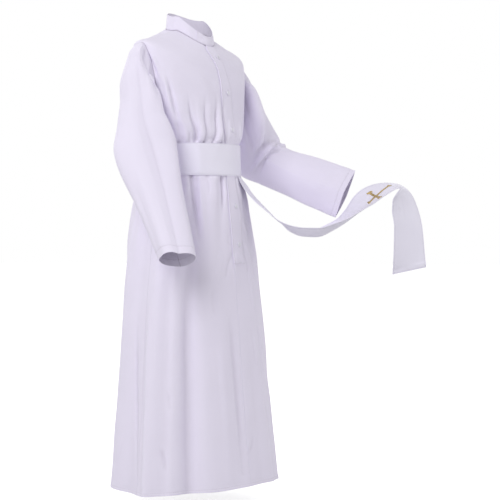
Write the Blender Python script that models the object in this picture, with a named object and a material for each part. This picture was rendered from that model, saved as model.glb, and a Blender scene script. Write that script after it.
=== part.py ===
"""A white cassock worn with its belt, as a set of sewn cloth walls.

The garment stands as if on a wearer who isn't there. X runs to the wearer's left, -Y is the front and
+Z is up. The origin is inside the neck, level with the high points of the shoulders, where a wearer
carries the weight. Every length is in metres and every angle in degrees.
"""
import math
from collections import namedtuple

import bpy
import numpy as np
from mathutils import Vector

# Cloth and seams.
CLOTH = 0.0012
SEAM_GAP = 0.0003
COLLAR_SEAM_GAP = 0.0006
COLLAR_CLOTH = 0.0018
BELT_CLOTH = 0.0016
PLACKET_CLOTH = 0.0010
APPLIQUE = 0.0010

# Front opening. The left front laps over the right one.
# As worn, the opening sits a little to the wearer's left of the middle.
OPENING_BEARING = 3.0
LAP_PAST_CENTRE = 0.023
UNDERLAP = 0.019
PLACKET_END_DROP = 0.690
PLACKET_BELOW_COLLAR = 0.10
BUTTON_RADIUS = 0.0065
BUTTON_HEIGHT = 0.0030
BUTTON_SPACING = 0.113
FIRST_BUTTON_DROP = 0.076
BUTTON_COUNT = 6
BUTTON_CLEAR_OF_BELT = 0.15
BUTTON_SIDES = 16

# A button's half section as shares of its radius and height: flat back, rounded rim, sunk middle.
BUTTON_PROFILE = [(0.0, 0.0), (0.80, 0.0), (1.0, 0.35), (0.97, 0.80), (0.82, 1.0), (0.60, 0.72), (0.0, 0.72)]

# Collar band.
COLLAR_LAP_ANGLE = 38.0
COLLAR_UNDERLAP_ANGLE = 12.0
COLLAR_RISE_SIDE = 0.042
COLLAR_RISE_FRONT = 0.029
COLLAR_RISE_BACK = 0.043
COLLAR_TAPER = 0.004
COLLAR_STEP_IN = 18.0
COLLAR_COLUMNS = 41
COLLAR_ROWS = 4

# Belt and its tail. Where the belt crosses the placket it stands off by the placket's thickness, and
# where its end laps over its start it steps out by its own. The tail starts just under the belt's edge,
# over twice its half span of the waist, and has its own shape from the row TAIL_START on.
PLACKET_RELIEF = 1.6
PLACKET_RELIEF_SPREAD = 17.0
BELT_STEP_OUT = 12.0
BELT_STEP_LEAD = 16.0
TAIL_WIDTH = 0.102
TAIL_BEARING = 52.0
TAIL_HANG = 0.0022
TAIL_CLEAR = 0.0012
TAIL_HALF_SPAN = 21.0
TAIL_START = 1.3
BELT_LAP_ANGLE = 20.0
BELT_LAP_START = 104.0

# Gold cross on the tail, in millimetres from its crossing. The tail's own lattice has these lines, so
# that the cross lies on it point for point.
CROSS_THICK = 3.0
CROSS_BAR = 6.0
CROSS_LINES_ACROSS = (-32, -26, -16, -6, -3, 3, 6, 16, 26, 32)
CROSS_LINES_ALONG = (-34, -28, -17, -6, -3, 3, 6, 17, 29, 40, 52, 58)
CROSS_PLACE = 12.35

# Lattice of the cloth: columns round the body and rows between the sections.
SIDE_COLUMNS = 17
LAP_COLUMNS = 3
BACK_COLUMNS = 34
ARMHOLE_STEPS = 8
SLEEVE_ROWS = 17
ARMHOLE_INSET_FRONT = 12.0
ARMHOLE_INSET_BACK = 33.0

# An underlapping edge is pushed in by one cloth, and its next column by this share of it.
PUSHED_SHARE = 0.6
SHARP_EDGE = 40.0

# How soon a level dips from its side to its front or back: 2 is even, less is sooner.
FRONT_DIP = 1.3
BACK_DIP = 2.0
FRONT_FLATNESS = 0.75

# Named levels of the body's sections, counted down from the neck.
NECK, SLOPE, TIP, ARMHOLE, UNDERARM, BLOUSE, BELT_TOP, BELT_BOTTOM, HIP, THIGH, KNEE, SHIN, HEM = range(13)
BELT_LEVELS = (BELT_TOP, (BELT_TOP + BELT_BOTTOM) / 2, BELT_BOTTOM)

Section = namedtuple(
    "Section",
    "drop_side drop_front drop_back half_width centre_y front_depth back_depth squareness",
)
SECTIONS = [
    Section(-0.006, 0.042, -0.027, 0.064, 0.018, 0.077, 0.078, 2.0),
    Section(0.019, 0.078, 0.010, 0.140, 0.021, 0.103, 0.095, 2.1),
    Section(0.045, 0.122, 0.066, 0.212, 0.023, 0.127, 0.106, 2.2),
    Section(0.138, 0.182, 0.150, 0.198, 0.018, 0.142, 0.114, 2.3),
    Section(0.243, 0.255, 0.245, 0.177, 0.008, 0.137, 0.126, 2.3),
    Section(0.303, 0.309, 0.303, 0.160, 0.000, 0.136, 0.138, 2.1),
    Section(0.335, 0.335, 0.335, 0.137, 0.000, 0.1345, 0.137, 2.0),
    Section(0.429, 0.429, 0.429, 0.141, 0.000, 0.137, 0.142, 2.0),
    Section(0.505, 0.505, 0.505, 0.163, 0.000, 0.147, 0.190, 2.1),
    Section(0.641, 0.641, 0.641, 0.196, 0.000, 0.160, 0.200, 2.1),
    Section(0.880, 0.880, 0.880, 0.222, 0.000, 0.184, 0.199, 2.1),
    Section(1.119, 1.117, 1.119, 0.237, 0.000, 0.204, 0.211, 2.1),
    Section(1.350, 1.328, 1.338, 0.257, 0.000, 0.228, 0.218, 2.1),
]

# Gathers above the belt. A negative bearing is on the wearer's right, a negative depth is a valley.
Gather = namedtuple("Gather", "bearing lean depth spread rise")
GATHERS = [
    Gather(-17, 3, -0.0060, 4.2, 0.095),
    Gather(-25, 2, 0.0060, 4.6, 0.115),
    Gather(-35, 4, -0.0050, 5.2, 0.100),
    Gather(-47, 4, 0.0055, 5.6, 0.120),
    Gather(-56, 7, -0.0050, 5.0, 0.170),
    Gather(-70, 6, 0.0050, 6.5, 0.130),
    Gather(-84, 2, -0.0040, 6.0, 0.080),
    Gather(-104, -4, 0.0045, 6.5, 0.110),
    Gather(-120, -6, -0.0050, 6.0, 0.120),
    Gather(-137, -8, 0.0050, 6.5, 0.140),
    Gather(-155, -8, -0.0045, 6.0, 0.120),
    Gather(-171, -5, 0.0050, 6.0, 0.150),
    Gather(171, 5, -0.0045, 6.0, 0.110),
    Gather(154, 7, 0.0050, 6.5, 0.140),
    Gather(136, 8, -0.0050, 6.0, 0.120),
    Gather(118, 6, 0.0045, 6.5, 0.120),
    Gather(101, 4, -0.0040, 6.0, 0.080),
    Gather(82, -3, 0.0045, 6.5, 0.100),
    Gather(67, -5, -0.0045, 5.5, 0.110),
    Gather(53, -5, 0.0045, 5.8, 0.120),
    Gather(38, -4, -0.0045, 5.2, 0.100),
    Gather(26, -2, 0.0040, 5.0, 0.090),
]

# Folds of the skirt, from the belt to the hem. A depth may change its sign on the way, where a valley
# under the belt runs out into a ridge lower down.
Fold = namedtuple("Fold", "bearing_belt bearing_hem depth_belt depth_hem spread_belt spread_hem")
FOLDS = [
    Fold(-14, -30, -0.0060, 0.009, 4.5, 13),
    Fold(-40, -52, 0.0060, -0.012, 6.0, 8.5),
    Fold(-53, -66, -0.0050, 0.004, 5.0, 8),
    Fold(-76, -80, 0.0045, 0.022, 7.5, 8),
    Fold(-95, -101, -0.0045, -0.012, 6.0, 10),
    Fold(-116, -124, 0.0050, 0.012, 7.0, 11),
    Fold(-136, -146, -0.0050, -0.012, 6.5, 10),
    Fold(-156, -167, 0.0050, 0.013, 7.0, 10),
    Fold(-176, 175, -0.0045, -0.011, 6.5, 10),
    Fold(164, 157, 0.0050, 0.012, 7.0, 10),
    Fold(145, 138, -0.0050, -0.012, 6.5, 10),
    Fold(124, 119, 0.0050, 0.014, 7.0, 11),
    Fold(103, 100, -0.0045, -0.012, 6.0, 10),
    Fold(83, 84, 0.0045, 0.014, 7.0, 9),
    Fold(65, 65, -0.0050, -0.010, 5.5, 9),
    Fold(48, 47, 0.0050, 0.008, 6.5, 11),
    Fold(30, 27, -0.0050, 0.003, 5.5, 9),
    Fold(14, 8, 0.0030, -0.006, 6.0, 8),
]

# Sections of a sleeve, from the armhole (0) to the cuff (1). The crease is its outer edge and the under
# edge runs down from the underarm. aside is away from the wearer's middle, ahead is to the front, drop
# is down, and across is half the thickness between the two edges' sides.
Cut = namedtuple(
    "Cut",
    "along crease_aside crease_ahead crease_drop under_aside under_ahead under_drop across squareness",
)
# Over the head share of its length a sleeve passes from the armhole's edge to its own sections.
HEAD_SHARE = 0.30
RIGHT_CUTS = [
    Cut(0.00, 0.212, -0.023, 0.045, 0.177, -0.008, 0.243, 0.060, 2.0),
    Cut(0.06, 0.236, -0.024, 0.068, 0.188, -0.014, 0.250, 0.062, 2.0),
    Cut(0.12, 0.250, -0.018, 0.112, 0.190, -0.018, 0.258, 0.071, 2.0),
    Cut(0.18, 0.260, -0.007, 0.180, 0.189, -0.016, 0.268, 0.080, 1.9),
    Cut(0.26, 0.264, 0.006, 0.262, 0.185, -0.019, 0.284, 0.083, 1.8),
    Cut(0.40, 0.269, 0.030, 0.341, 0.194, -0.021, 0.359, 0.090, 1.7),
    Cut(0.68, 0.294, 0.105, 0.482, 0.212, 0.053, 0.518, 0.067, 1.7),
    Cut(1.00, 0.326, 0.200, 0.650, 0.227, 0.140, 0.694, 0.058, 1.8),
]
LEFT_CUTS = [
    Cut(0.00, 0.212, -0.023, 0.045, 0.177, -0.008, 0.243, 0.060, 2.0),
    Cut(0.06, 0.234, -0.020, 0.067, 0.188, -0.010, 0.250, 0.063, 2.0),
    Cut(0.12, 0.251, -0.010, 0.109, 0.196, -0.010, 0.268, 0.070, 2.0),
    Cut(0.20, 0.270, 0.012, 0.176, 0.204, -0.010, 0.318, 0.074, 2.0),
    Cut(0.30, 0.291, 0.043, 0.243, 0.228, -0.004, 0.392, 0.067, 2.0),
    Cut(0.42, 0.312, 0.090, 0.314, 0.270, 0.046, 0.444, 0.050, 1.9),
    Cut(0.70, 0.318, 0.228, 0.360, 0.283, 0.183, 0.503, 0.036, 1.9),
    Cut(1.00, 0.321, 0.363, 0.407, 0.293, 0.310, 0.548, 0.032, 1.9),
]

# Sections of the belt's tail, from the belt to the free end. reach is level, along the bearing in which
# the tail is drawn out, drop is down from the origin, near and far are its two edges, cup is how deep
# the strip sags between them, and ahead is how far it stands towards the wearer's right front.
Strip = namedtuple("Strip", "reach_near drop_near reach_far drop_far cup ahead")
STRIPS = [
    Strip(0.1365, 0.4315, 0.1365, 0.4315, -0.0095, 0.000),
    Strip(0.1500, 0.4660, 0.1560, 0.4540, -0.005, 0.000),
    Strip(0.1740, 0.4970, 0.1800, 0.4850, -0.001, 0.002),
    Strip(0.2140, 0.5320, 0.2180, 0.5250, 0.001, 0.004),
    Strip(0.2580, 0.5640, 0.2590, 0.5640, 0.003, 0.007),
    Strip(0.2930, 0.5770, 0.2890, 0.5820, 0.014, 0.010),
    Strip(0.3290, 0.5820, 0.3220, 0.5870, 0.022, 0.012),
    Strip(0.3700, 0.5820, 0.3590, 0.5860, 0.024, 0.014),
    Strip(0.4130, 0.5705, 0.3960, 0.5720, 0.020, 0.015),
    Strip(0.4550, 0.5550, 0.4280, 0.5540, 0.015, 0.015),
    Strip(0.4970, 0.5310, 0.4550, 0.5240, 0.012, 0.015),
    Strip(0.5310, 0.5120, 0.4790, 0.4870, 0.012, 0.015),
    Strip(0.5620, 0.4900, 0.5100, 0.4610, 0.012, 0.015),
    Strip(0.5850, 0.4750, 0.5430, 0.4490, 0.007, 0.015),
    Strip(0.6020, 0.4660, 0.5770, 0.4450, 0.000, 0.015),
    Strip(0.6140, 0.4640, 0.6080, 0.4480, -0.004, 0.015),
    Strip(0.6090, 0.4760, 0.6330, 0.4590, -0.007, 0.015),
    Strip(0.5980, 0.4980, 0.6530, 0.4810, -0.008, 0.015),
    Strip(0.5930, 0.5280, 0.6680, 0.5150, -0.007, 0.015),
    Strip(0.5945, 0.5800, 0.6820, 0.5680, -0.004, 0.015),
    Strip(0.5940, 0.6500, 0.6890, 0.6350, -0.002, 0.015),
    Strip(0.5920, 0.7210, 0.6935, 0.6990, 0.000, 0.015),
]

# The gathers and folds die out over this height where they meet the belt.
FOLD_RUN_IN = 0.022

Paint = namedtuple("Paint", "name colour roughness metallic")
CLOTH_PAINT = Paint("white_cloth", (0.86, 0.84, 0.92), 0.75, 0.0)
BUTTON_PAINT = Paint("white_button", (0.88, 0.87, 0.92), 0.35, 0.0)
GOLD_PAINT = Paint("gold_thread", (0.62, 0.45, 0.20), 0.40, 0.8)


def clear_scene():
    for thing in list(bpy.data.objects):
        bpy.data.objects.remove(thing)


def material(paint):
    """The Principled material of a paint, made once."""
    found = bpy.data.materials.get(paint.name)
    if found:
        return found
    made = bpy.data.materials.new(paint.name)
    made.use_nodes = True
    shader = made.node_tree.nodes["Principled BSDF"]
    shader.inputs["Base Color"].default_value = (*paint.colour, 1.0)
    shader.inputs["Roughness"].default_value = paint.roughness
    shader.inputs["Metallic"].default_value = paint.metallic
    return made


def smooth(x):
    """0 below 0, 1 above 1, and an even ease between."""
    x = np.clip(x, 0.0, 1.0)
    return x * x * (3.0 - 2.0 * x)


def unit(vectors):
    """Vectors scaled to length 1."""
    vectors = np.asarray(vectors, float)
    return vectors / np.linalg.norm(vectors, axis=-1, keepdims=True)


def eased_rows(places, rows, at):
    """Reads a table of rows at any place: a cubic through the rows that never overshoots them."""
    places = np.asarray(places, float)
    rows = np.asarray(rows, float)
    steps = np.diff(places)[:, None]
    slopes = np.diff(rows, axis=0) / steps
    before, after = slopes[:-1], slopes[1:]
    same_way = before * after > 0
    total = np.where(same_way, before + after, 1.0)
    tangents = np.empty_like(rows)
    tangents[1:-1] = np.where(same_way, 2.0 * before * after / total, 0.0)
    tangents[0], tangents[-1] = slopes[0], slopes[-1]
    at = np.clip(np.asarray(at, float), places[0], places[-1])
    low = np.clip(np.searchsorted(places, at, side="right") - 1, 0, len(places) - 2)
    step = steps[low]
    t = ((at - places[low])[..., None]) / step
    from_low = rows[low] * (1 + 2 * t) * (1 - t) ** 2 + tangents[low] * step * t * (1 - t) ** 2
    to_high = rows[low + 1] * t * t * (3 - 2 * t) - tangents[low + 1] * step * t * t * (1 - t)
    return from_low + to_high


def signed_power(value, power):
    """A power that keeps the value's sign."""
    return np.sign(value) * np.abs(value) ** power


def turned(angle):
    """An angle brought between -180 and 180."""
    return (angle + 180.0) % 360.0 - 180.0


def ridge(angle, bearing, spread):
    """A soft ridge of height 1 along a bearing."""
    return np.exp(-((turned(angle - bearing) / spread) ** 2))


def fold_depth(angle, drop):
    """How far the gathers and the skirt's folds stand out of the plain body there."""
    top, bottom = SECTIONS[BELT_TOP].drop_side, SECTIONS[BELT_BOTTOM].drop_side
    depth = np.zeros(np.broadcast(angle, drop).shape)
    above = top - drop
    for g in GATHERS:
        share = smooth(above / FOLD_RUN_IN) * (1 - smooth((above - FOLD_RUN_IN) / g.rise))
        bearing = g.bearing + g.lean * np.clip(above / g.rise, 0, 1.5)
        depth += g.depth * share * ridge(angle, bearing, g.spread)
    below = np.clip((drop - bottom) / (SECTIONS[HEM].drop_side - bottom), 0, 1)
    start = smooth((drop - bottom) / FOLD_RUN_IN)
    for f in FOLDS:
        swing = turned(f.bearing_hem - f.bearing_belt)
        bearing = f.bearing_belt + swing * below
        spread = f.spread_belt + (f.spread_hem - f.spread_belt) * below
        height = f.depth_belt + (f.depth_hem - f.depth_belt) * below
        depth += height * start * ridge(angle, bearing, spread)
    return depth


def section_at(level):
    """The body's section at any level between the named ones."""
    return Section(*np.moveaxis(eased_rows(range(len(SECTIONS)), SECTIONS, level), -1, 0))


def body(angle, level):
    """The body's outer surface. angle turns from the centre front to the wearer's left."""
    angle, level = np.broadcast_arrays(np.asarray(angle, float), np.asarray(level, float))
    cut = section_at(level)
    sine, cosine = np.sin(np.radians(angle)), np.cos(np.radians(angle))
    is_front = cosine > 0
    ends = np.where(is_front, cut.drop_front, cut.drop_back)
    dip = np.where(is_front, FRONT_DIP, BACK_DIP)
    drop = cut.drop_side + (ends - cut.drop_side) * np.abs(cosine) ** dip
    power = 2.0 / cut.squareness
    depth = np.where(is_front, cut.front_depth, cut.back_depth)
    x = cut.half_width * signed_power(sine, power)
    y = cut.centre_y - depth * signed_power(cosine, power)
    out = unit(np.stack([sine / cut.half_width, -cosine / depth], axis=-1))
    lift = fold_depth(angle, drop)
    return np.stack([x + out[..., 0] * lift, y + out[..., 1] * lift, -drop], axis=-1)


def body_lifted(angle, level, lift):
    """The body's surface moved along its own outward normal."""
    angle, level = np.broadcast_arrays(np.asarray(angle, float), np.asarray(level, float))
    inside = np.clip(level, 0.01, HEM - 0.01)
    along_angle = body(angle + 0.5, inside) - body(angle - 0.5, inside)
    along_level = body(angle, inside + 0.01) - body(angle, inside - 0.01)
    normal = unit(np.cross(along_level, along_angle))
    return body(angle, level) + normal * np.broadcast_to(lift, angle.shape)[..., None]


def degrees_at(level, length):
    """The angle that a length spans at the centre front of a level."""
    cut = section_at(np.asarray(level, float))
    radius = np.maximum(cut.front_depth, cut.half_width**2 / cut.front_depth * FRONT_FLATNESS)
    return np.degrees(length / radius)


def armhole_level(turn):
    """Level of the armhole's edge. turn is 0 at the shoulder tip, 0.5 at the underarm."""
    return ARMHOLE - np.cos(2 * np.pi * np.asarray(turn, float))


def armhole_angle(turn, side):
    """Angle of the armhole's edge: the front half is turn 0 to 0.5 and the back half the rest."""
    turn = np.asarray(turn, float) % 1.0
    wave = np.sin(2 * np.pi * turn)
    inset = np.where(wave > 0, ARMHOLE_INSET_FRONT, -ARMHOLE_INSET_BACK) * np.abs(wave) ** 0.9
    return side * (90.0 - inset)


def edge_angle(level, is_front):
    """Where a panel ends at a level: at the side or shoulder seam, or at the armhole."""
    wave = np.sqrt(np.clip(1 - (np.asarray(level, float) - ARMHOLE) ** 2, 0, 1))
    inset = ARMHOLE_INSET_FRONT if is_front else -ARMHOLE_INSET_BACK
    return 90.0 - inset * wave**0.9


def body_levels():
    """The rows of the body: the armhole's own rows, and the rest spaced by what they must show."""
    neck = [NECK, 0.5, SLOPE, 1.5, 1.8]
    armhole = list(armhole_level(np.arange(ARMHOLE_STEPS + 1) / (2 * ARMHOLE_STEPS)))
    waist = [4.5, BLOUSE, 5.5, 5.8, *BELT_LEVELS, 7.25, 7.6, HIP]
    skirt = [8.5, THIGH, level_at_front_drop(PLACKET_END_DROP), KNEE, 10.5, SHIN, 11.5, HEM]
    return np.array(neck + armhole + waist + skirt)


def wall_mesh(name, outer, inner, closed_round=False):
    """A cloth wall between two lattices of points, closed at its edges. Rows run down the piece."""
    rows, columns = outer.shape[:2]
    points = np.concatenate([outer.reshape(-1, 3), inner.reshape(-1, 3)])
    back = rows * columns
    spans = columns if closed_round else columns - 1
    faces = []
    for r in range(rows - 1):
        for c in range(spans):
            d = (c + 1) % columns
            a, b = r * columns + c, r * columns + d
            e, f = a + columns, b + columns
            faces.append((a, e, f, b))
            faces.append((a + back, b + back, f + back, e + back))
    for c in range(spans):
        d = (c + 1) % columns
        last = (rows - 1) * columns
        faces.append((c, d, d + back, c + back))
        faces.append((last + c, last + c + back, last + d + back, last + d))
    if not closed_round:
        for r in range(rows - 1):
            a, e = r * columns, (r + 1) * columns
            b, f = a + columns - 1, e + columns - 1
            faces.append((a, a + back, e + back, e))
            faces.append((b, f, f + back, b + back))
    mesh = bpy.data.meshes.new(name)
    mesh.from_pydata(points.tolist(), [], faces)
    mesh.update()
    return mesh


def add_object(name, mesh, paint):
    """Links a mesh as a named sub-part, shaded smooth but for its edges."""
    mesh.materials.append(material(paint))
    mesh.shade_smooth()
    mesh.set_sharp_from_angle(angle=math.radians(SHARP_EDGE))
    thing = bpy.data.objects.new(name, mesh)
    bpy.context.scene.collection.objects.link(thing)
    return thing


def sewn_wall(name, outer, inner, paint=CLOTH_PAINT, closed_round=False):
    """A wall as a sub-part, with its faces turned outwards."""
    mesh = wall_mesh(name, outer, inner, closed_round)
    if signed_volume(mesh) < 0:
        mesh.flip_normals()
    return add_object(name, mesh, paint)


def signed_volume(mesh):
    """Six times the volume inside a mesh, negative if its faces point inwards."""
    mesh.calc_loop_triangles()
    total = 0.0
    for t in mesh.loop_triangles:
        a, b, c = (mesh.vertices[i].co for i in t.vertices)
        total += a.dot(b.cross(c))
    return total


def lap_angles(level):
    """The columns that the two fronts and the placket share, from the lap's edge to the underlap's."""
    start = OPENING_BEARING - degrees_at(level, LAP_PAST_CENTRE)
    end = OPENING_BEARING + degrees_at(level, UNDERLAP)
    return start + (end - start) * np.linspace(0, 1, LAP_COLUMNS + 1)


def front_angles(level, side):
    """A front's columns at a level. The right front is side -1, and runs under the left one."""
    shared = lap_angles(level)
    edge = side * edge_angle(level, True)
    if side < 0:
        return np.concatenate([np.linspace(edge, shared[0], SIDE_COLUMNS + 1)[:-1], shared])
    return np.concatenate([shared, np.linspace(shared[-1], edge, SIDE_COLUMNS + 1)[1:]])


def shifted_edge(points, columns, levels, shift):
    """Moves a panel's seam edge back by half the seam gap, but not along an armhole."""
    seam = (levels <= TIP) | (levels >= UNDERARM)
    for c in columns:
        points[seam, c, 1] += shift
    return points


def front_panel(side):
    """One front, from the neck to the hem. The right one is pushed in where the left one covers it."""
    levels = body_levels()
    angles = np.array([front_angles(level, side) for level in levels])
    lift = np.zeros_like(angles)
    if side < 0:
        pushed = -(CLOTH + SEAM_GAP)
        lift[:, -(LAP_COLUMNS + 1) :] = pushed
        lift[:, -(LAP_COLUMNS + 2)] = pushed * PUSHED_SHARE
    level_grid = np.broadcast_to(levels[:, None], angles.shape)
    edge = 0 if side < 0 else -1
    outer = shifted_edge(body_lifted(angles, level_grid, lift), [edge], levels, -SEAM_GAP / 2)
    inner = shifted_edge(body_lifted(angles, level_grid, lift - CLOTH), [edge], levels, -SEAM_GAP / 2)
    return sewn_wall("front_right" if side < 0 else "front_left", outer, inner)


def back_angles(level):
    """The back's columns at a level, from the left side seam round to the right one."""
    edge = edge_angle(level, False)
    return np.linspace(edge, 360.0 - edge, BACK_COLUMNS + 1)


def back_panel():
    """The back, from the neck to the hem, all in one."""
    levels = body_levels()
    angles = np.array([back_angles(level) for level in levels])
    level_grid = np.broadcast_to(levels[:, None], angles.shape)
    outer = shifted_edge(body_lifted(angles, level_grid, 0.0), [0, -1], levels, SEAM_GAP / 2)
    inner = shifted_edge(body_lifted(angles, level_grid, -CLOTH), [0, -1], levels, SEAM_GAP / 2)
    return sewn_wall("back", outer, inner)


def level_at_front_drop(drop):
    """The level at which the front opening lies at a drop."""
    levels = np.linspace(0, HEM, 2401)
    return np.interp(drop, -body(OPENING_BEARING, levels)[:, 2], levels)


def button_levels():
    """Levels of the buttons, evenly spaced along the cloth of the opening."""
    levels = np.linspace(0, HEM, 2401)
    line = body(OPENING_BEARING, levels)
    run = np.concatenate([[0], np.cumsum(np.linalg.norm(np.diff(line, axis=0), axis=1))])
    first = np.interp(FIRST_BUTTON_DROP, -line[:, 2], run)
    return np.interp(first + BUTTON_SPACING * np.arange(BUTTON_COUNT), run, levels)


def placket():
    """The strip sewn on the left front's edge, laid on the columns that the fronts share."""
    levels = body_levels()
    levels = levels[levels <= level_at_front_drop(PLACKET_END_DROP)]
    angles = np.array([lap_angles(level) for level in levels])
    level_grid = np.broadcast_to(levels[:, None], angles.shape)
    outer = body_lifted(angles, level_grid, SEAM_GAP + PLACKET_CLOTH)
    inner = body_lifted(angles, level_grid, SEAM_GAP)
    for points in (outer, inner):
        points[0] += (points[1] - points[0]) * PLACKET_BELOW_COLLAR
    return sewn_wall("placket", outer, inner)


def collar_surface(angle, rise, lift):
    """The collar band: rise 0 is the neck seam and 1 the top edge, which leans in by the taper."""
    base = body(angle, np.zeros_like(angle))
    cosine = np.cos(np.radians(angle))
    ends = np.where(cosine > 0, COLLAR_RISE_FRONT, COLLAR_RISE_BACK)
    height = COLLAR_RISE_SIDE + (ends - COLLAR_RISE_SIDE) * np.abs(cosine) ** FRONT_DIP
    centre = np.array([0.0, SECTIONS[NECK].centre_y])
    out = unit(base[..., :2] - centre)
    radial = np.asarray(lift) - COLLAR_TAPER * rise
    points = base.copy()
    points[..., :2] += out * radial[..., None]
    points[..., 2] += COLLAR_SEAM_GAP + height * rise
    return points


def collar():
    """A band round the neck, whose left end laps over its right end past the centre front."""
    angles = np.linspace(-COLLAR_LAP_ANGLE, 360.0 + COLLAR_UNDERLAP_ANGLE, COLLAR_COLUMNS)
    angle, rise = np.meshgrid(angles, np.linspace(0, 1, COLLAR_ROWS))
    under = smooth((angle - (360.0 - COLLAR_LAP_ANGLE)) / COLLAR_STEP_IN + 1.1)
    lift = -under * (COLLAR_CLOTH + SEAM_GAP)
    outer = collar_surface(angle, rise, lift)
    inner = collar_surface(angle, rise, lift - COLLAR_CLOTH)
    return sewn_wall("collar", outer, inner)


def belt_angles():
    """The belt's columns: the same as the cloth's under it, all the way round, plus its own lap."""
    middle = BELT_LEVELS[1]
    right, left = front_angles(middle, -1), front_angles(middle, 1)
    ring = np.concatenate([back_angles(middle)[:-1] - 360.0, right[: SIDE_COLUMNS + 1], left[1:]])
    ring = np.unique(np.round(ring, 6))
    ring = ring[ring < 90.0 - 1e-6]
    full = np.concatenate([ring, ring + 360.0, ring + 720.0])
    chosen = (full >= BELT_LAP_START) & (full <= BELT_LAP_START + 360.0 + BELT_LAP_ANGLE)
    return full[chosen]


def belt_lift(angle):
    """How far the belt's inner face is from the cloth under it: more where it crosses the placket."""
    relief = PLACKET_RELIEF * (SEAM_GAP + PLACKET_CLOTH)
    return SEAM_GAP + ridge(angle, OPENING_BEARING, PLACKET_RELIEF_SPREAD) * relief


def belt():
    """The band round the waist. Its end laps over its start behind the wearer's left side."""
    angles = belt_angles()
    angle, level = np.meshgrid(angles, BELT_LEVELS)
    past_start = angle - (BELT_LAP_START + 360.0 - BELT_STEP_LEAD)
    low = belt_lift(angle) + smooth(past_start / BELT_STEP_OUT) * (BELT_CLOTH + SEAM_GAP)
    outer = body_lifted(angle, level, low + BELT_CLOTH)
    inner = body_lifted(angle, level, low)
    return sewn_wall("belt", outer, inner)


def sleeve_edges(side, cuts, along):
    """A sleeve's crease edge, under edge, half thickness and squareness at a share of its length."""
    table = eased_rows([c.along for c in cuts], [c[1:] for c in cuts], along)
    to_world = np.array([side, -1.0, -1.0])
    crease = table[..., 0:3] * to_world
    under = table[..., 3:6] * to_world
    return crease, under, table[..., 6], table[..., 7]


def sleeve_plain(side, cuts, turn, along):
    """The sleeve without its armhole: rounded sections between the crease edge and the under edge."""
    crease, under, across, square = sleeve_edges(side, cuts, along)
    ahead = sleeve_edges(side, cuts, np.minimum(along + 0.02, 1.0))
    behind = sleeve_edges(side, cuts, np.maximum(along - 0.02, 0.0))
    way = (ahead[0] + ahead[1]) - (behind[0] + behind[1])
    centre, half = (crease + under) / 2, (crease - under) / 2
    front = -side * unit(np.cross(half, way))
    power = (2.0 / square)[..., None]
    cosine, sine = np.cos(2 * np.pi * turn)[..., None], np.sin(2 * np.pi * turn)[..., None]
    across_way = front * across[..., None]
    return centre + half * signed_power(cosine, power) + across_way * signed_power(sine, power)


def sleeve_point(side, cuts, turn, along):
    """A sleeve's outer surface. turn is 0 on the crease, 0.25 at the front and 0.5 at the underarm."""
    turn, along = np.broadcast_arrays(np.asarray(turn, float), np.asarray(along, float))
    edge = body(armhole_angle(turn, side), armhole_level(turn))
    edge[..., 0] += side * SEAM_GAP
    to_edge = edge - sleeve_plain(side, cuts, turn, np.zeros_like(along))
    hold = 1 - smooth(along / HEAD_SHARE)
    return sleeve_plain(side, cuts, turn, along) + to_edge * hold[..., None]


def sleeve_wall(name, side, cuts):
    """A sleeve, whose first ring meets the armhole point for point."""
    turns = np.arange(2 * ARMHOLE_STEPS) / (2 * ARMHOLE_STEPS)
    turn, along = np.meshgrid(turns, np.linspace(0, 1, SLEEVE_ROWS))
    outer = sleeve_point(side, cuts, turn, along)
    round_way = sleeve_point(side, cuts, turn + 0.01, along) - sleeve_point(side, cuts, turn - 0.01, along)
    before, after = np.maximum(along - 0.01, 0), np.minimum(along + 0.01, 1)
    down_way = sleeve_point(side, cuts, turn, after) - sleeve_point(side, cuts, turn, before)
    inner = outer - side * unit(np.cross(down_way, round_way)) * CLOTH
    to_middle = outer[0].mean(axis=0) - outer[0]
    to_middle[:, 0] = 0.0
    inner[0] = outer[0] + unit(to_middle) * CLOTH
    return sewn_wall(name, outer, inner, closed_round=True)


def tail_point(across, place):
    """The tail's lower face, which starts just below the belt's edge and then runs as its table says."""
    across, place = np.broadcast_arrays(np.asarray(across, float), np.asarray(place, float))
    angle = 90.0 - TAIL_BEARING + TAIL_HALF_SPAN * (2 * across - 1)
    edge = body_lifted(angle, float(BELT_BOTTOM), belt_lift(angle) + TAIL_CLEAR)
    edge[..., 2] -= TAIL_HANG
    to_edge = edge - strip_point(across, np.zeros_like(place))
    hold = 1 - smooth(place / TAIL_START)
    return strip_point(across, place) + to_edge * hold[..., None]


def strip_point(across, place):
    """The strip as its table gives it. across is 0 at the near edge and 1 at the far one."""
    across, place = np.broadcast_arrays(np.asarray(across, float), np.asarray(place, float))
    cut = strip_at(place)
    gap_2 = (cut.reach_near - cut.reach_far) ** 2 + (cut.drop_near - cut.drop_far) ** 2
    chord = TAIL_WIDTH / (1 + 8 / 3 * (cut.cup / TAIL_WIDTH) ** 2)
    depth = np.sqrt(np.maximum(chord**2 - gap_2, 0.0))
    near = in_tail_plane(cut.reach_near, cut.drop_near, cut.ahead + depth / 2)
    far = in_tail_plane(cut.reach_far, cut.drop_far, cut.ahead - depth / 2)
    down = unit(np.cross(unit(far - near), strip_run(place)))
    bow = (4 * cut.cup * across * (1 - across))[..., None]
    return near + (far - near) * across[..., None] + down * bow


def strip_at(place):
    """The strip's section at any place between its table's rows."""
    return Strip(*np.moveaxis(eased_rows(range(len(STRIPS)), STRIPS, place), -1, 0))


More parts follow.
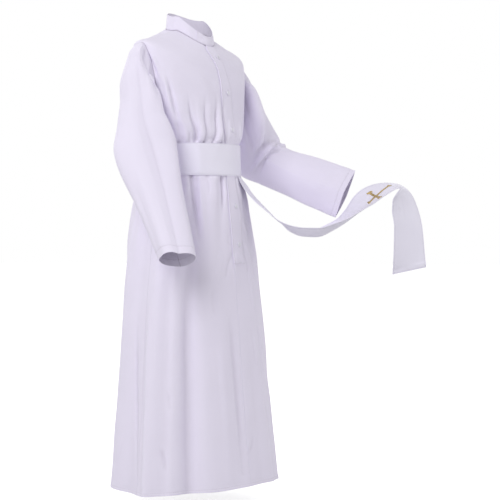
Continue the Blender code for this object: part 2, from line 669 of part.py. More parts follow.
def in_tail_plane(reach, drop, ahead):
    """A point reach out along the tail's bearing, drop down, and ahead across to the near side."""
    bearing = math.radians(TAIL_BEARING)
    reach_way = np.array([math.cos(bearing), -math.sin(bearing), 0.0])
    near_way = np.array([-math.sin(bearing), -math.cos(bearing), 0.0])
    down = np.array([0.0, 0.0, -1.0])
    return reach[..., None] * reach_way + drop[..., None] * down + ahead[..., None] * near_way


def strip_run(place):
    """The direction in which the strip's middle runs, in its upright plane."""
    after = strip_at(np.minimum(place + 0.5, len(STRIPS) - 1))
    before = strip_at(np.maximum(place - 0.5, 0))
    reach = after.reach_near + after.reach_far - before.reach_near - before.reach_far
    drop = after.drop_near + after.drop_far - before.drop_near - before.drop_far
    return unit(in_tail_plane(reach, drop, np.zeros_like(reach)))


def tail_lifted(across, place, lift):
    """The tail's face moved along its normal, up out of the lit face."""
    across, place = np.broadcast_arrays(np.asarray(across, float), np.asarray(place, float))
    last = len(STRIPS) - 1
    ahead, behind = np.minimum(place + 0.1, last), np.maximum(place - 0.1, 0)
    run = tail_point(across, ahead) - tail_point(across, behind)
    chord = tail_point(across + 0.02, place) - tail_point(across - 0.02, place)
    normal = unit(np.cross(run, chord))
    return tail_point(across, place) + normal * np.broadcast_to(lift, across.shape)[..., None]


def distance_along():
    """Places along the tail with their distance from the middle of the cross, in millimetres."""
    places = np.linspace(0, len(STRIPS) - 1, 1261)
    middle = tail_point(np.full_like(places, 0.5), places)
    run = np.concatenate([[0], np.cumsum(np.linalg.norm(np.diff(middle, axis=0), axis=1))])
    return places, (run - np.interp(CROSS_PLACE, places, run)) * 1000.0


def tail_lattice():
    """The tail's columns and rows: its own, and those that the cross needs."""
    half_width = TAIL_WIDTH * 1000.0 / 2
    margin = (CROSS_LINES_ACROSS[-1] + half_width) / 2
    lines = np.array([-half_width, -margin, *CROSS_LINES_ACROSS, margin, half_width])
    columns = 0.5 - lines / (2 * half_width)
    places, distances = distance_along()
    rows = np.arange(len(STRIPS), dtype=float)
    at = np.interp(rows, places, distances)
    clear = (at < CROSS_LINES_ALONG[0] - CROSS_BAR) | (at > CROSS_LINES_ALONG[-1] + CROSS_BAR)
    cross_rows = np.interp(CROSS_LINES_ALONG, distances, places)
    return columns, np.sort(np.concatenate([rows[clear], cross_rows]))


def belt_tail():
    """The tail: a long strip that hangs from the belt, crosses to the left hand and falls from it."""
    columns, rows = tail_lattice()
    across, place = np.meshgrid(columns, rows)
    top = tail_lifted(across, place, BELT_CLOTH)
    return sewn_wall("belt_tail", top, tail_lifted(across, place, 0.0))


def in_cross(across, along):
    """Whether a point of the strip lies in the cross: a stem, two arms and a short bar at each end."""
    left, right = CROSS_LINES_ACROSS[0], CROSS_LINES_ACROSS[-1]
    head, foot = CROSS_LINES_ALONG[0], CROSS_LINES_ALONG[-1]
    if not (left < across < right and head < along < foot):
        return False
    stem = abs(across) < CROSS_THICK
    arm = abs(along) < CROSS_THICK
    bar = abs(across) < CROSS_BAR and not head + CROSS_BAR < along < foot - CROSS_BAR
    end = abs(along) < CROSS_BAR and not left + CROSS_BAR < across < right - CROSS_BAR
    return stem or arm or bar or end


def belt_cross():
    """The cross, laid on the tail's upper face point for point."""
    lines, rows = CROSS_LINES_ACROSS, CROSS_LINES_ALONG
    places, distances = distance_along()
    across, along = np.meshgrid(lines, rows)
    columns = 0.5 - across / (TAIL_WIDTH * 1000.0)
    place = np.interp(along, distances, places)
    low = BELT_CLOTH + SEAM_GAP
    top = tail_lifted(columns, place, low + APPLIQUE).reshape(-1, 3)
    bottom = tail_lifted(columns, place, low).reshape(-1, 3)
    count = len(lines)
    cells = []
    for r in range(len(rows) - 1):
        for c in range(count - 1):
            if in_cross((lines[c] + lines[c + 1]) / 2, (rows[r] + rows[r + 1]) / 2):
                start = r * count + c
                cells.append((start, start + 1, start + count + 1, start + count))
    mesh = plate_mesh("belt_cross", top, bottom, cells)
    return add_object("belt_cross", mesh, GOLD_PAINT)


def plate_mesh(name, top, bottom, cells):
    """A thin plate between two sets of points, of any outline made of whole cells."""
    edges = {(a, b) for cell in cells for a, b in zip(cell, cell[1:] + cell[:1])}
    under = len(top)
    faces = list(cells)
    faces += [tuple(i + under for i in reversed(cell)) for cell in cells]
    faces += [(b, a, a + under, b + under) for a, b in sorted(edges) if (b, a) not in edges]
    used = sorted({i for face in faces for i in face})
    number = {old: new for new, old in enumerate(used)}
    points = np.concatenate([top, bottom])[used]
    mesh = bpy.data.meshes.new(name)
    mesh.from_pydata(points.tolist(), [], [tuple(number[i] for i in face) for face in faces])
    mesh.update()
    if signed_volume(mesh) < 0:
        mesh.flip_normals()
    return mesh


def buttons():
    """Flat turned buttons down the placket, each a spun profile set square to the cloth."""
    lift = SEAM_GAP + PLACKET_CLOTH + SEAM_GAP
    for i, level in enumerate(button_levels()):
        if BELT_TOP - BUTTON_CLEAR_OF_BELT < level < BELT_BOTTOM + BUTTON_CLEAR_OF_BELT:
            continue
        seat = body_lifted(OPENING_BEARING, level, lift)
        normal = unit(seat - body_lifted(OPENING_BEARING, level, 0.0))
        name = f"button_{i + 1}"
        thing = add_object(name, turned_mesh(name, BUTTON_PROFILE, BUTTON_SIDES), BUTTON_PAINT)
        thing.rotation_mode = "QUATERNION"
        thing.rotation_quaternion = Vector(normal).to_track_quat("Z", "Y")
        thing.location = Vector(seat)


def turned_mesh(name, profile, sides):
    """A solid of revolution about Z from a profile that starts and ends on the axis."""
    rings = profile[1:-1]
    points = [(0.0, 0.0, profile[0][1] * BUTTON_HEIGHT)]
    for share, height in rings:
        radius = BUTTON_RADIUS * share
        for k in range(sides):
            a = 2 * math.pi * k / sides
            points.append((radius * math.cos(a), radius * math.sin(a), height * BUTTON_HEIGHT))
    points.append((0.0, 0.0, profile[-1][1] * BUTTON_HEIGHT))
    top = len(points) - 1
    faces = []
    for k in range(sides):
        n = (k + 1) % sides
        faces.append((0, 1 + n, 1 + k))
        for r in range(len(rings) - 1):
            low, high = 1 + r * sides, 1 + (r + 1) * sides
            faces.append((low + k, low + n, high + n, high + k))
        high = 1 + (len(rings) - 1) * sides
        faces.append((high + k, high + n, top))
    mesh = bpy.data.meshes.new(name)
    mesh.from_pydata(points, [], faces)
    mesh.update()
    return mesh


def main():
    """Makes every sub-part."""
    clear_scene()
    front_panel(-1)
    front_panel(1)
    back_panel()
    placket()
    collar()
    sleeve_wall("sleeve_right", -1, RIGHT_CUTS)
    sleeve_wall("sleeve_left", 1, LEFT_CUTS)
    belt()
    belt_tail()
    belt_cross()
    buttons()


main()
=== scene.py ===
"""A white cassock worn with its belt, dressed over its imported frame.

Every cloth piece is a surface worked out from two numbers, such as a bearing round the body and a level
down it. The surface is moved along its own normal by the creases that are placed on it, and becomes a
thin closed wall. X runs to the wearer's left, -Y is the front and +Z is up. Lengths are in metres,
unless a name says millimetres, and angles are in degrees.
"""
from __future__ import annotations

import logging
import math
from dataclasses import dataclass, field
from enum import Enum
from typing import NamedTuple, Sequence

import bmesh
import bpy
import numpy as np
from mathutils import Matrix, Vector


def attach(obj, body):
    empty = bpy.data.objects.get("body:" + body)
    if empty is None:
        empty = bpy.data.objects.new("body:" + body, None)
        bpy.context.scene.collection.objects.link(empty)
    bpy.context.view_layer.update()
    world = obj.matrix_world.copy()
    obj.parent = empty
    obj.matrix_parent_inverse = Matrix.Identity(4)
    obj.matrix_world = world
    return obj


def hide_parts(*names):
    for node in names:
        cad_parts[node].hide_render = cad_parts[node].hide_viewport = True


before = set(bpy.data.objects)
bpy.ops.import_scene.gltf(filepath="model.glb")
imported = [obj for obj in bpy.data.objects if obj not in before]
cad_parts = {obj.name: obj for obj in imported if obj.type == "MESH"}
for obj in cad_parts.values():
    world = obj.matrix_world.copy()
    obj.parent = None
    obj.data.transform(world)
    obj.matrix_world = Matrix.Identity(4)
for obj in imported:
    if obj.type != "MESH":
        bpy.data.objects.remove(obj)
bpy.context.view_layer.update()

Array = np.ndarray
Colour = tuple[float, float, float]
Shell = tuple[Array, Array, Array]  # Points, quads and the metres along the thread at each point.
Mesh = bpy.types.Mesh
Material = bpy.types.Material
Tree = bpy.types.NodeTree
Node = bpy.types.Node
Socket = bpy.types.NodeSocket
LOG = logging.getLogger("cassock")

MM = 0.001
SEAM_GAP = 0.0003
SHARP_RIM = 50
FINE = 2401
UP = np.array([0.0, 0.0, 1.0])
WHITE = (1.0, 1.0, 1.0, 1.0)


class Side(Enum):
    """Which of the wearer's sides a piece is on. The value is the sign of X there."""

    RIGHT = -1
    LEFT = 1


def smooth(x: Array) -> Array:
    """0 below 0, 1 above 1, and an even ease between: x squared times 3 less twice x."""
    x = np.clip(x, 0.0, 1.0)
    return x * x * (3.0 - 2.0 * x)


def unit(vectors: Array) -> Array:
    """Vectors divided by their own length."""
    vectors = np.asarray(vectors, float)
    return vectors / np.linalg.norm(vectors, axis=-1, keepdims=True)


def signed_power(value: Array, power: Array | float) -> Array:
    """A power that keeps the value's sign."""
    return np.sign(value) * np.abs(value) ** power


def turned(angle: Array, period: float = 360.0) -> Array:
    """An angle brought to within half a period of zero."""
    return (angle + period / 2) % period - period / 2


def bell(distance: Array, spread: float | Array) -> Array:
    """A bell curve of height 1: e to the minus of the squared share of the spread."""
    return np.exp(-((distance / spread) ** 2))


def paired(first: Array | float, second: Array | float) -> Sequence[Array]:
    """Two sets of numbers brought to one shape."""
    return np.broadcast_arrays(np.asarray(first, float), np.asarray(second, float))


def table(kind: type, *rows: Sequence[float]) -> tuple:
    """Rows of numbers as named tuples. A number left out at a row's end has its usual value."""
    return tuple(kind(*row) for row in rows)


def eased_rows(places: Sequence[float], rows: Sequence, at: Array) -> Array:
    """Reads a table of rows at any place, along a cubic through the rows that never overshoots them.

    Args:
        places: where the rows stand, rising.
        rows: the rows' numbers.
        at: the places to read.

    Returns:
        The eased rows, one for each place asked.
    """
    places, rows = np.asarray(places, float), np.asarray(rows, float)
    slopes = np.diff(rows, axis=0) / np.diff(places)[:, None]
    before, after = slopes[:-1], slopes[1:]
    same_way = before * after > 0
    total = np.where(same_way, before + after, 1.0)
    between = np.where(same_way, 2.0 * before * after / total, 0.0)
    tangents = np.concatenate([slopes[:1], between, slopes[-1:]])
    at = np.clip(np.asarray(at, float), places[0], places[-1])
    low = np.clip(np.searchsorted(places, at, side="right") - 1, 0, len(places) - 2)
    step = np.diff(places)[low][..., None]
    t = (at - places[low])[..., None] / step
    from_low = rows[low] * (1 + 2 * t) * (1 - t) ** 2 + tangents[low] * step * t * (1 - t) ** 2
    to_high = rows[low + 1] * t * t * (3 - 2 * t) - tangents[low + 1] * step * t * t * (1 - t)
    return from_low + to_high


def run_along(points: Array, axis: int) -> Array:
    """Distance covered along a grid's rows or columns from its first one, added up step by step."""
    steps = np.linalg.norm(np.diff(points, axis=axis), axis=-1)
    first = np.zeros_like(np.take(steps, [0], axis=axis))
    return np.concatenate([first, np.cumsum(steps, axis=axis)], axis=axis)


def marks(length: float, step: float, *lines: float) -> Array:
    """Positions from 0 to a length, a step apart or a little less, that pass through given lines."""
    stops = sorted({0.0, length, *lines})
    counts = [max(1, math.ceil((b - a) / step)) + 1 for a, b in zip(stops, stops[1:])]
    parts = [np.linspace(a, b, count)[:-1] for a, b, count in zip(stops, stops[1:], counts)]
    return np.concatenate([*parts, [length]])


def edge_lines(across: Array, width: float, stitch_in: float) -> Array:
    """Distance to the nearer of the two lines of stitching along a strip's edges."""
    return np.minimum(np.abs(across - stitch_in), np.abs(across - width + stitch_in))


class Crease(NamedTuple):
    """A soft trough or ridge pressed into cloth along a curve through three points of a surface.

    The points are given in the surface's own two numbers. depth is in millimetres and below zero for a
    trough. width is half the trough's width in millimetres. start and finish are its strength at its two
    ends, and steep narrows the side that lies to the left as the curve runs. pointed turns the round top
    into a pressed edge between two even flanks.
    """

    across_0: float
    down_0: float
    across_1: float
    down_1: float
    across_2: float
    down_2: float
    depth: float
    width: float
    start: float = 0.0
    finish: float = 0.0
    steep: float = 0.0
    pointed: float = 0.0


@dataclass(frozen=True)
class Press:
    """Presses creases into a surface: each is a bell curve of the distance to its line."""

    steps: int = 14
    reach: float = 2.8
    run_in: float = 0.35
    edge_radius: float = 1.3 * MM
    flank: float = 2.2
    flank_power: float = 1.5
    steep_widening: float = 0.5

    def depth(
        self,
        across: Array,
        down: Array,
        scale: Array | float,
        creases: Sequence[Crease],
        period: float = 360.0,
    ) -> Array:
        """Adds the creases up.

        Args:
            across: the surface's first number at each point.
            down: its second number, in metres.
            scale: metres to one unit of the first number at each point.
            creases: the creases to press.
            period: after how many units the first number comes round again.

        Returns:
            The height at each point in metres.
        """
        height, scale = np.zeros(across.shape), np.broadcast_to(scale, across.shape)
        t = np.linspace(0.0, 1.0, self.steps + 1)
        shares = np.stack([(1 - t) * (1 - 2 * t), 4 * t * (1 - t), t * (2 * t - 1)])
        for crease in creases:
            line_across = turned(np.array(crease[0:6:2]) - crease.across_1, period) @ shares
            line_down = np.array(crease[1:6:2]) @ shares
            reach = self.reach * crease.width * MM
            offset = turned(across - crease.across_1, period)
            near = (down > line_down.min() - reach) & (down < line_down.max() + reach)
            near &= (offset - line_across.min()) * scale > -reach
            near &= (offset - line_across.max()) * scale < reach
            if near.any():
                found = self.nearest(offset[near], down[near], scale[near], line_across, line_down)
                height[near] += crease.depth * MM * self.profile(crease, *found)
        return height

    def nearest(
        self, across: Array, down: Array, scale: Array, line_across: Array, line_down: Array
    ) -> tuple[Array, Array, Array]:
        """Each point's nearest place as a share of the line, the gap to it and whether it is to the left."""
        best = np.full(across.shape, np.inf)
        place = np.zeros_like(best)
        left = np.zeros(best.shape, bool)
        for k in range(self.steps):
            way_across = (line_across[k + 1] - line_across[k]) * scale
            way_down = line_down[k + 1] - line_down[k]
            from_across = (across - line_across[k]) * scale
            from_down = down - line_down[k]
            share = (from_across * way_across + from_down * way_down) / (way_across**2 + way_down**2 + 1e-12)
            share = np.clip(share, 0.0, 1.0)
            gap = np.hypot(from_across - share * way_across, from_down - share * way_down)
            closer = gap < best
            best = np.where(closer, gap, best)
            place = np.where(closer, (k + share) / self.steps, place)
            left = np.where(closer, from_across * way_down - from_down * way_across < 0, left)
        return place, best, left

    def profile(self, crease: Crease, place: Array, gap: Array, left: Array) -> Array:
        """Strength of a crease: its section, from a bell to a tent, times its strength along the line."""
        width = crease.width * MM * np.where(left, 1 - crease.steep, 1 + self.steep_widening * crease.steep)
        begin = crease.start + (1 - crease.start) * smooth(place / self.run_in)
        end = crease.finish + (1 - crease.finish) * smooth((1 - place) / self.run_in)
        round_top = bell(gap, width)
        rounded_gap = np.hypot(gap, self.edge_radius) - self.edge_radius
        tent = np.clip(1 - rounded_gap / (self.flank * width), 0, 1) ** self.flank_power
        return (round_top + crease.pointed * (tent - round_top)) * begin * end


PRESS = Press()


@dataclass(frozen=True)
class Slack:
    """A slack unevenness of cloth: even waves in seeded directions, added up."""

    seed: int
    height: float
    length: float
    waves: int = 8
    shortest: float = 0.6
    longest: float = 1.7
    down_share: float = 0.7

    def at(self, along: Array, down: Array) -> Array:
        """Its height at points so many metres along the surface and down it."""
        rng = np.random.default_rng(self.seed)
        total = np.zeros(np.broadcast(along, down).shape)
        for _ in range(self.waves):
            heading = rng.uniform(0, math.pi)
            wave = self.length * rng.uniform(self.shortest, self.longest)
            phase = rng.uniform(0, 2 * math.pi)
            distance = along * math.cos(heading) + down * math.sin(heading) * self.down_share
            total = total + np.sin(2 * math.pi * distance / wave + phase)
        return total * self.height / math.sqrt(self.waves)


def wall_faces(rows: int, columns: int, closed_round: bool) -> tuple[Array, Array]:
    """The quads of a wall between an outer and an inner grid, closed at its rims.

    Args:
        rows: the grids' rows.
        columns: the grids' columns.
        closed_round: whether the last column joins the first.

    Returns:
        The quads' vertex numbers, and the numbers of the places on the unrolled cloth they read.
    """

    def quads(row: Array, column: Array, *corners: tuple[int, int, int]) -> tuple[Array, Array]:
        """A quad at each place, whose corners are so many rows down and columns on, in a layer."""
        spots = [(row + down, column + on, layer * rows * columns) for down, on, layer in corners]
        vertices = [r * columns + c % columns + first for r, c, first in spots]
        return np.stack(vertices, -1), np.stack([r * (columns + 1) + c for r, c, _ in spots], -1)

    spans = columns if closed_round else columns - 1
    r, c = (grid.ravel() for grid in np.mgrid[: rows - 1, :spans])
    rim = np.arange(spans)
    parts = [
        quads(r, c, (0, 0, 0), (1, 0, 0), (1, 1, 0), (0, 1, 0)),
        quads(r, c, (0, 0, 1), (0, 1, 1), (1, 1, 1), (1, 0, 1)),
        quads(0 * rim, rim, (0, 0, 0), (0, 1, 0), (0, 1, 1), (0, 0, 1)),
        quads(0 * rim + rows - 1, rim, (0, 0, 0), (0, 0, 1), (0, 1, 1), (0, 1, 0)),
    ]
    if not closed_round:
        rim = np.arange(rows - 1)
        parts.append(quads(rim, 0 * rim, (0, 0, 0), (0, 0, 1), (1, 0, 1), (1, 0, 0)))
        parts.append(quads(rim, 0 * rim + columns - 1, (0, 0, 0), (1, 0, 0), (1, 0, 1), (0, 0, 1)))
    return np.concatenate([a for a, _ in parts]), np.concatenate([b for _, b in parts])


def mesh_from(name: str, points: Array, quads: Array) -> Mesh:
    """A mesh of quads, smooth but for its sharp rims, with its faces turned outwards."""
    mesh = bpy.data.meshes.new(name)
    mesh.from_pydata(points.tolist(), [], quads.tolist())
    mesh.update()
    corners = points[quads]
    across = np.cross(corners[:, 2] - corners[:, 0], corners[:, 3] - corners[:, 1])
    if (corners.mean(axis=1) * across).sum() < 0:
        mesh.flip_normals()
    mesh.shade_smooth()
    mesh.set_sharp_from_angle(angle=math.radians(SHARP_RIM))
    return mesh


def add_attribute(mesh: Mesh, name: str, values: Array) -> None:
    """Stores one number for each vertex."""
    layer = mesh.attributes.new(name, "FLOAT", "POINT")
    layer.data.foreach_set("value", values.astype(np.float32).ravel())


def merge_doubles(mesh: Mesh) -> None:
    """Draws together the points of a mesh that lie in one place."""
    work = bmesh.new()
    work.from_mesh(mesh)
    bmesh.ops.remove_doubles(work, verts=work.verts, dist=1e-7)
    bmesh.ops.dissolve_degenerate(work, edges=work.edges, dist=1e-8)
    bmesh.ops.recalc_face_normals(work, faces=work.faces)
    work.to_mesh(mesh)
    work.free()


def join_parts(name: str, parts: Sequence[Shell], merge: bool = True) -> Mesh:
    """Closed shells in one mesh, with the metres along each kept for its thread."""
    counts = np.cumsum([0] + [len(points) for points, _, _ in parts])
    points = np.concatenate([p for p, _, _ in parts])
    quads = np.concatenate([q + n for (_, q, _), n in zip(parts, counts)])
    mesh = mesh_from(name, points, quads)
    add_attribute(mesh, "run", np.concatenate([r for _, _, r in parts]))
    if merge:
        merge_doubles(mesh)
    return mesh


def ring_quads(rings: int, sides: int) -> Array:
    """The quads between closed rings of points, one after the other."""
    i, j = (grid.ravel() for grid in np.mgrid[: rings - 1, :sides])
    n = (j + 1) % sides
    return np.stack([i * sides + j, (i + 1) * sides + j, (i + 1) * sides + n, i * sides + n], -1)


def tube(path: Array, radius: float | Array, sides: int) -> Shell:
    """A round cord along a path: a ring of points square to each step, drawn to a point at each end.

    Args:
        path: the points that it follows.
        radius: its radius, or one for each point.
        sides: points in a ring.

    Returns:
        Its points, its quads and the metres along it at each point.
    """
    way = unit(np.gradient(path, axis=0))
    steep = abs(way[0][2]) > 0.8
    side = unit(np.cross(way, np.array([1.0, 0.0, 0.0]) if steep else UP))
    up = np.cross(side, way)
    rings = np.clip(np.arange(-1, len(path) + 1), 0, len(path) - 1)
    size = np.pad(np.broadcast_to(np.asarray(radius, float), len(path)), 1)
    turn = np.linspace(0, 2 * np.pi, sides, endpoint=False)[:, None]
    ring = np.cos(turn) * side[rings][:, None] + np.sin(turn) * up[rings][:, None]
    points = path[rings][:, None] + ring * size[:, None, None]
    return points.reshape(-1, 3), ring_quads(len(rings), sides), np.repeat(run_along(path, 0)[rings], sides)


def add_piece(mesh: Mesh, material: Material, nodes: Sequence[str]) -> bpy.types.Object:
    """Makes a mesh a piece of the garment.

    Args:
        mesh: the piece's mesh, in place.
        material: its finish.
        nodes: the CAD nodes that it replaces, if any.

    Returns:
        The piece.
    """
    mesh.materials.append(material)
    piece = bpy.data.objects.new(mesh.name, mesh)
    bpy.context.scene.collection.objects.link(piece)
    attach(piece, "root")
    if nodes:
        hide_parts(*nodes)
    LOG.info("%s: %d triangles", mesh.name, len(mesh.loops) - 2 * len(mesh.polygons))
    return piece


@dataclass
class ClothWall:
    """A cloth piece as a closed wall between two grids of points.

    stitch and seam are the distances of each point to the nearest line of stitching and to the nearest
    seam. A piece without seams leaves the second out.
    """

    name: str
    outer: Array
    inner: Array
    stitch: Array
    seam: Array | None = None
    closed_round: bool = False

    def mesh(self) -> Mesh:
        """Joins the grids, with the cloth's own threads as UV: metres along a row and down a column."""
        rows, columns = self.outer.shape[:2]
        points = np.concatenate([self.outer.reshape(-1, 3), self.inner.reshape(-1, 3)])
        quads, places = wall_faces(rows, columns, self.closed_round)
        mesh = mesh_from(self.name, points, quads)
        last = self.outer[:, :1] if self.closed_round else self.outer[:, -1:]
        wide = np.concatenate([self.outer, last], axis=1)
        along, down = run_along(wide, 1), run_along(wide, 0)
        threads = np.stack([along - along[:, columns // 2][:, None], down], axis=-1).reshape(-1, 2)
        if tuple(mesh.polygons[0].vertices) != tuple(quads[0]):
            places = places[:, [0, 3, 2, 1]]
        layer = mesh.uv_layers.new(name="threads")
        layer.data.foreach_set("uv", threads[places].astype(np.float32).ravel())
        run = threads.sum(axis=1).reshape(rows, columns + 1)[:, :columns]
        seam = np.ones_like(self.stitch) if self.seam is None else self.seam
        for title, values in (("stitch", self.stitch), ("seam", seam), ("run", run)):
            add_attribute(mesh, title, np.stack([values, values]))
        # This depth is stored for the finishes, which paint shade into the hollows with it.
        sunk = self.sunk()
        add_attribute(mesh, "sunk", np.stack([sunk, -sunk]))
        return mesh

    def sunk(self, reach: float = 0.008) -> Array:
        """How far each outer point lies in below the mean of the four at the reach, in metres."""
        around = np.zeros_like(self.outer)
        for axis in (0, 1):
            count = self.outer.shape[axis]
            spacing = np.median(np.linalg.norm(np.diff(self.outer, axis=axis), axis=-1))
            step = max(1, round(reach / float(spacing)))
            for place in (np.arange(count) - step, np.arange(count) + step):
                near = place % count if self.closed_round and axis == 1 else np.clip(place, 0, count - 1)
                around += np.take(self.outer, near, axis=axis)
        return ((around / 4 - self.outer) * unit(self.outer - self.inner)).sum(axis=-1)


# Named levels of the body's sections, counted down from the neck.
NECK, SLOPE, TIP, ARMHOLE, UNDERARM, BLOUSE, BELT_TOP, BELT_BOTTOM, HIP, THIGH, KNEE, SHIN, HEM = range(13)


class Section(NamedTuple):
    """The body's outline at a level: three drops from the origin, sizes and how square it is."""

    drop_side: float
    drop_front: float
    drop_back: float
    half_width: float
    centre_y: float
    front_depth: float
    back_depth: float
    squareness: float


SECTIONS = table(
    Section,
    (-0.006, 0.042, -0.027, 0.064, 0.018, 0.077, 0.078, 2),
    (0.019, 0.078, 0.01, 0.14, 0.021, 0.103, 0.095, 2.1),
    (0.045, 0.122, 0.066, 0.21, 0.023, 0.122, 0.106, 2.15),
    (0.138, 0.182, 0.15, 0.194, 0.018, 0.134, 0.114, 2.2),
    (0.243, 0.255, 0.245, 0.174, 0.008, 0.133, 0.126, 2.15),
    (0.303, 0.309, 0.303, 0.145, 0, 0.137, 0.138, 2.1), (0.335, 0.335, 0.335, 0.137, 0, 0.1345, 0.137, 2),
    (0.429, 0.429, 0.429, 0.141, 0, 0.137, 0.142, 2), (0.505, 0.505, 0.505, 0.163, 0, 0.147, 0.19, 2.1),
    (0.641, 0.641, 0.641, 0.196, 0, 0.16, 0.2, 2.1), (0.88, 0.88, 0.88, 0.222, 0, 0.184, 0.199, 2.1),
    (1.119, 1.117, 1.119, 0.237, 0, 0.204, 0.211, 2.1), (1.35, 1.332, 1.327, 0.257, 0, 0.228, 0.218, 2.1),
)
TOP_DROP, BOTTOM_DROP = SECTIONS[BELT_TOP].drop_side, SECTIONS[BELT_BOTTOM].drop_side


class Gather(NamedTuple):
    """A gather above the belt. A negative bearing is on the wearer's right, a negative depth a valley."""

    bearing: float
    lean: float
    depth: float
    spread: float
    rise: float


GATHERS = table(
    Gather,
    (-7, 4, -0.003, 3.5, 0.07), (-18, 14, 0.006, 4.4, 0.12), (-30, 13, -0.005, 5.2, 0.1),
    (-41, 11, 0.0065, 4.4, 0.095), (-48, 8, -0.0045, 4.2, 0.11), (-57, 7, 0.004, 5, 0.13),
    (-70, 6, 0.005, 6.5, 0.13), (-84, 2, -0.004, 6, 0.08), (-104, -4, 0.0045, 6.5, 0.11),
    (-120, -6, -0.005, 6, 0.12), (-137, -8, 0.005, 6.5, 0.14), (-155, -8, -0.0045, 6, 0.12),
    (-171, -5, 0.005, 6, 0.15), (171, 5, -0.0045, 6, 0.11), (154, 7, 0.005, 6.5, 0.14),
    (136, 8, -0.005, 6, 0.12), (118, 6, 0.0045, 6.5, 0.12), (101, 4, -0.004, 6, 0.08),
    (82, -3, 0.0045, 6.5, 0.1), (67, -5, -0.0045, 5.5, 0.11), (53, -5, 0.0045, 5.8, 0.12),
    (38, -4, -0.0045, 5.2, 0.1), (26, -2, 0.004, 5, 0.09),
)


class Fold(NamedTuple):
    """A fold of the skirt from the belt to the hem, whose depth may change its sign on the way."""

    bearing_belt: float
    bearing_hem: float
    depth_belt: float
    depth_hem: float
    spread_belt: float
    spread_hem: float


FOLDS = table(
    Fold,
    (-14, -30, -0.006, 0.009, 4.5, 13), (-28, -29, 0.0045, 0, 7, 9), (-46, -50, -0.006, -0.012, 5, 9),
    (-58, -66, 0.004, 0.004, 5, 8), (-76, -80, 0.0045, 0.022, 7.5, 8),
    (-95, -101, -0.0045, -0.012, 6, 10), (-116, -124, 0.005, 0.012, 7, 11),
    (-136, -146, -0.005, -0.012, 6.5, 10), (-156, -167, 0.005, 0.013, 7, 10),
    (-176, 175, -0.0045, -0.011, 6.5, 10), (164, 157, 0.005, 0.012, 7, 10),
    (145, 138, -0.005, -0.012, 6.5, 10), (124, 119, 0.005, 0.014, 7, 11),
    (103, 100, -0.0045, -0.012, 6, 10), (83, 84, 0.0045, 0.014, 7, 9), (65, 65, -0.005, -0.01, 5.5, 9),
    (48, 47, 0.005, 0.008, 6.5, 11), (30, 27, -0.003, 0.003, 5.5, 9), (14, 8, 0.003, -0.006, 6, 8),
)
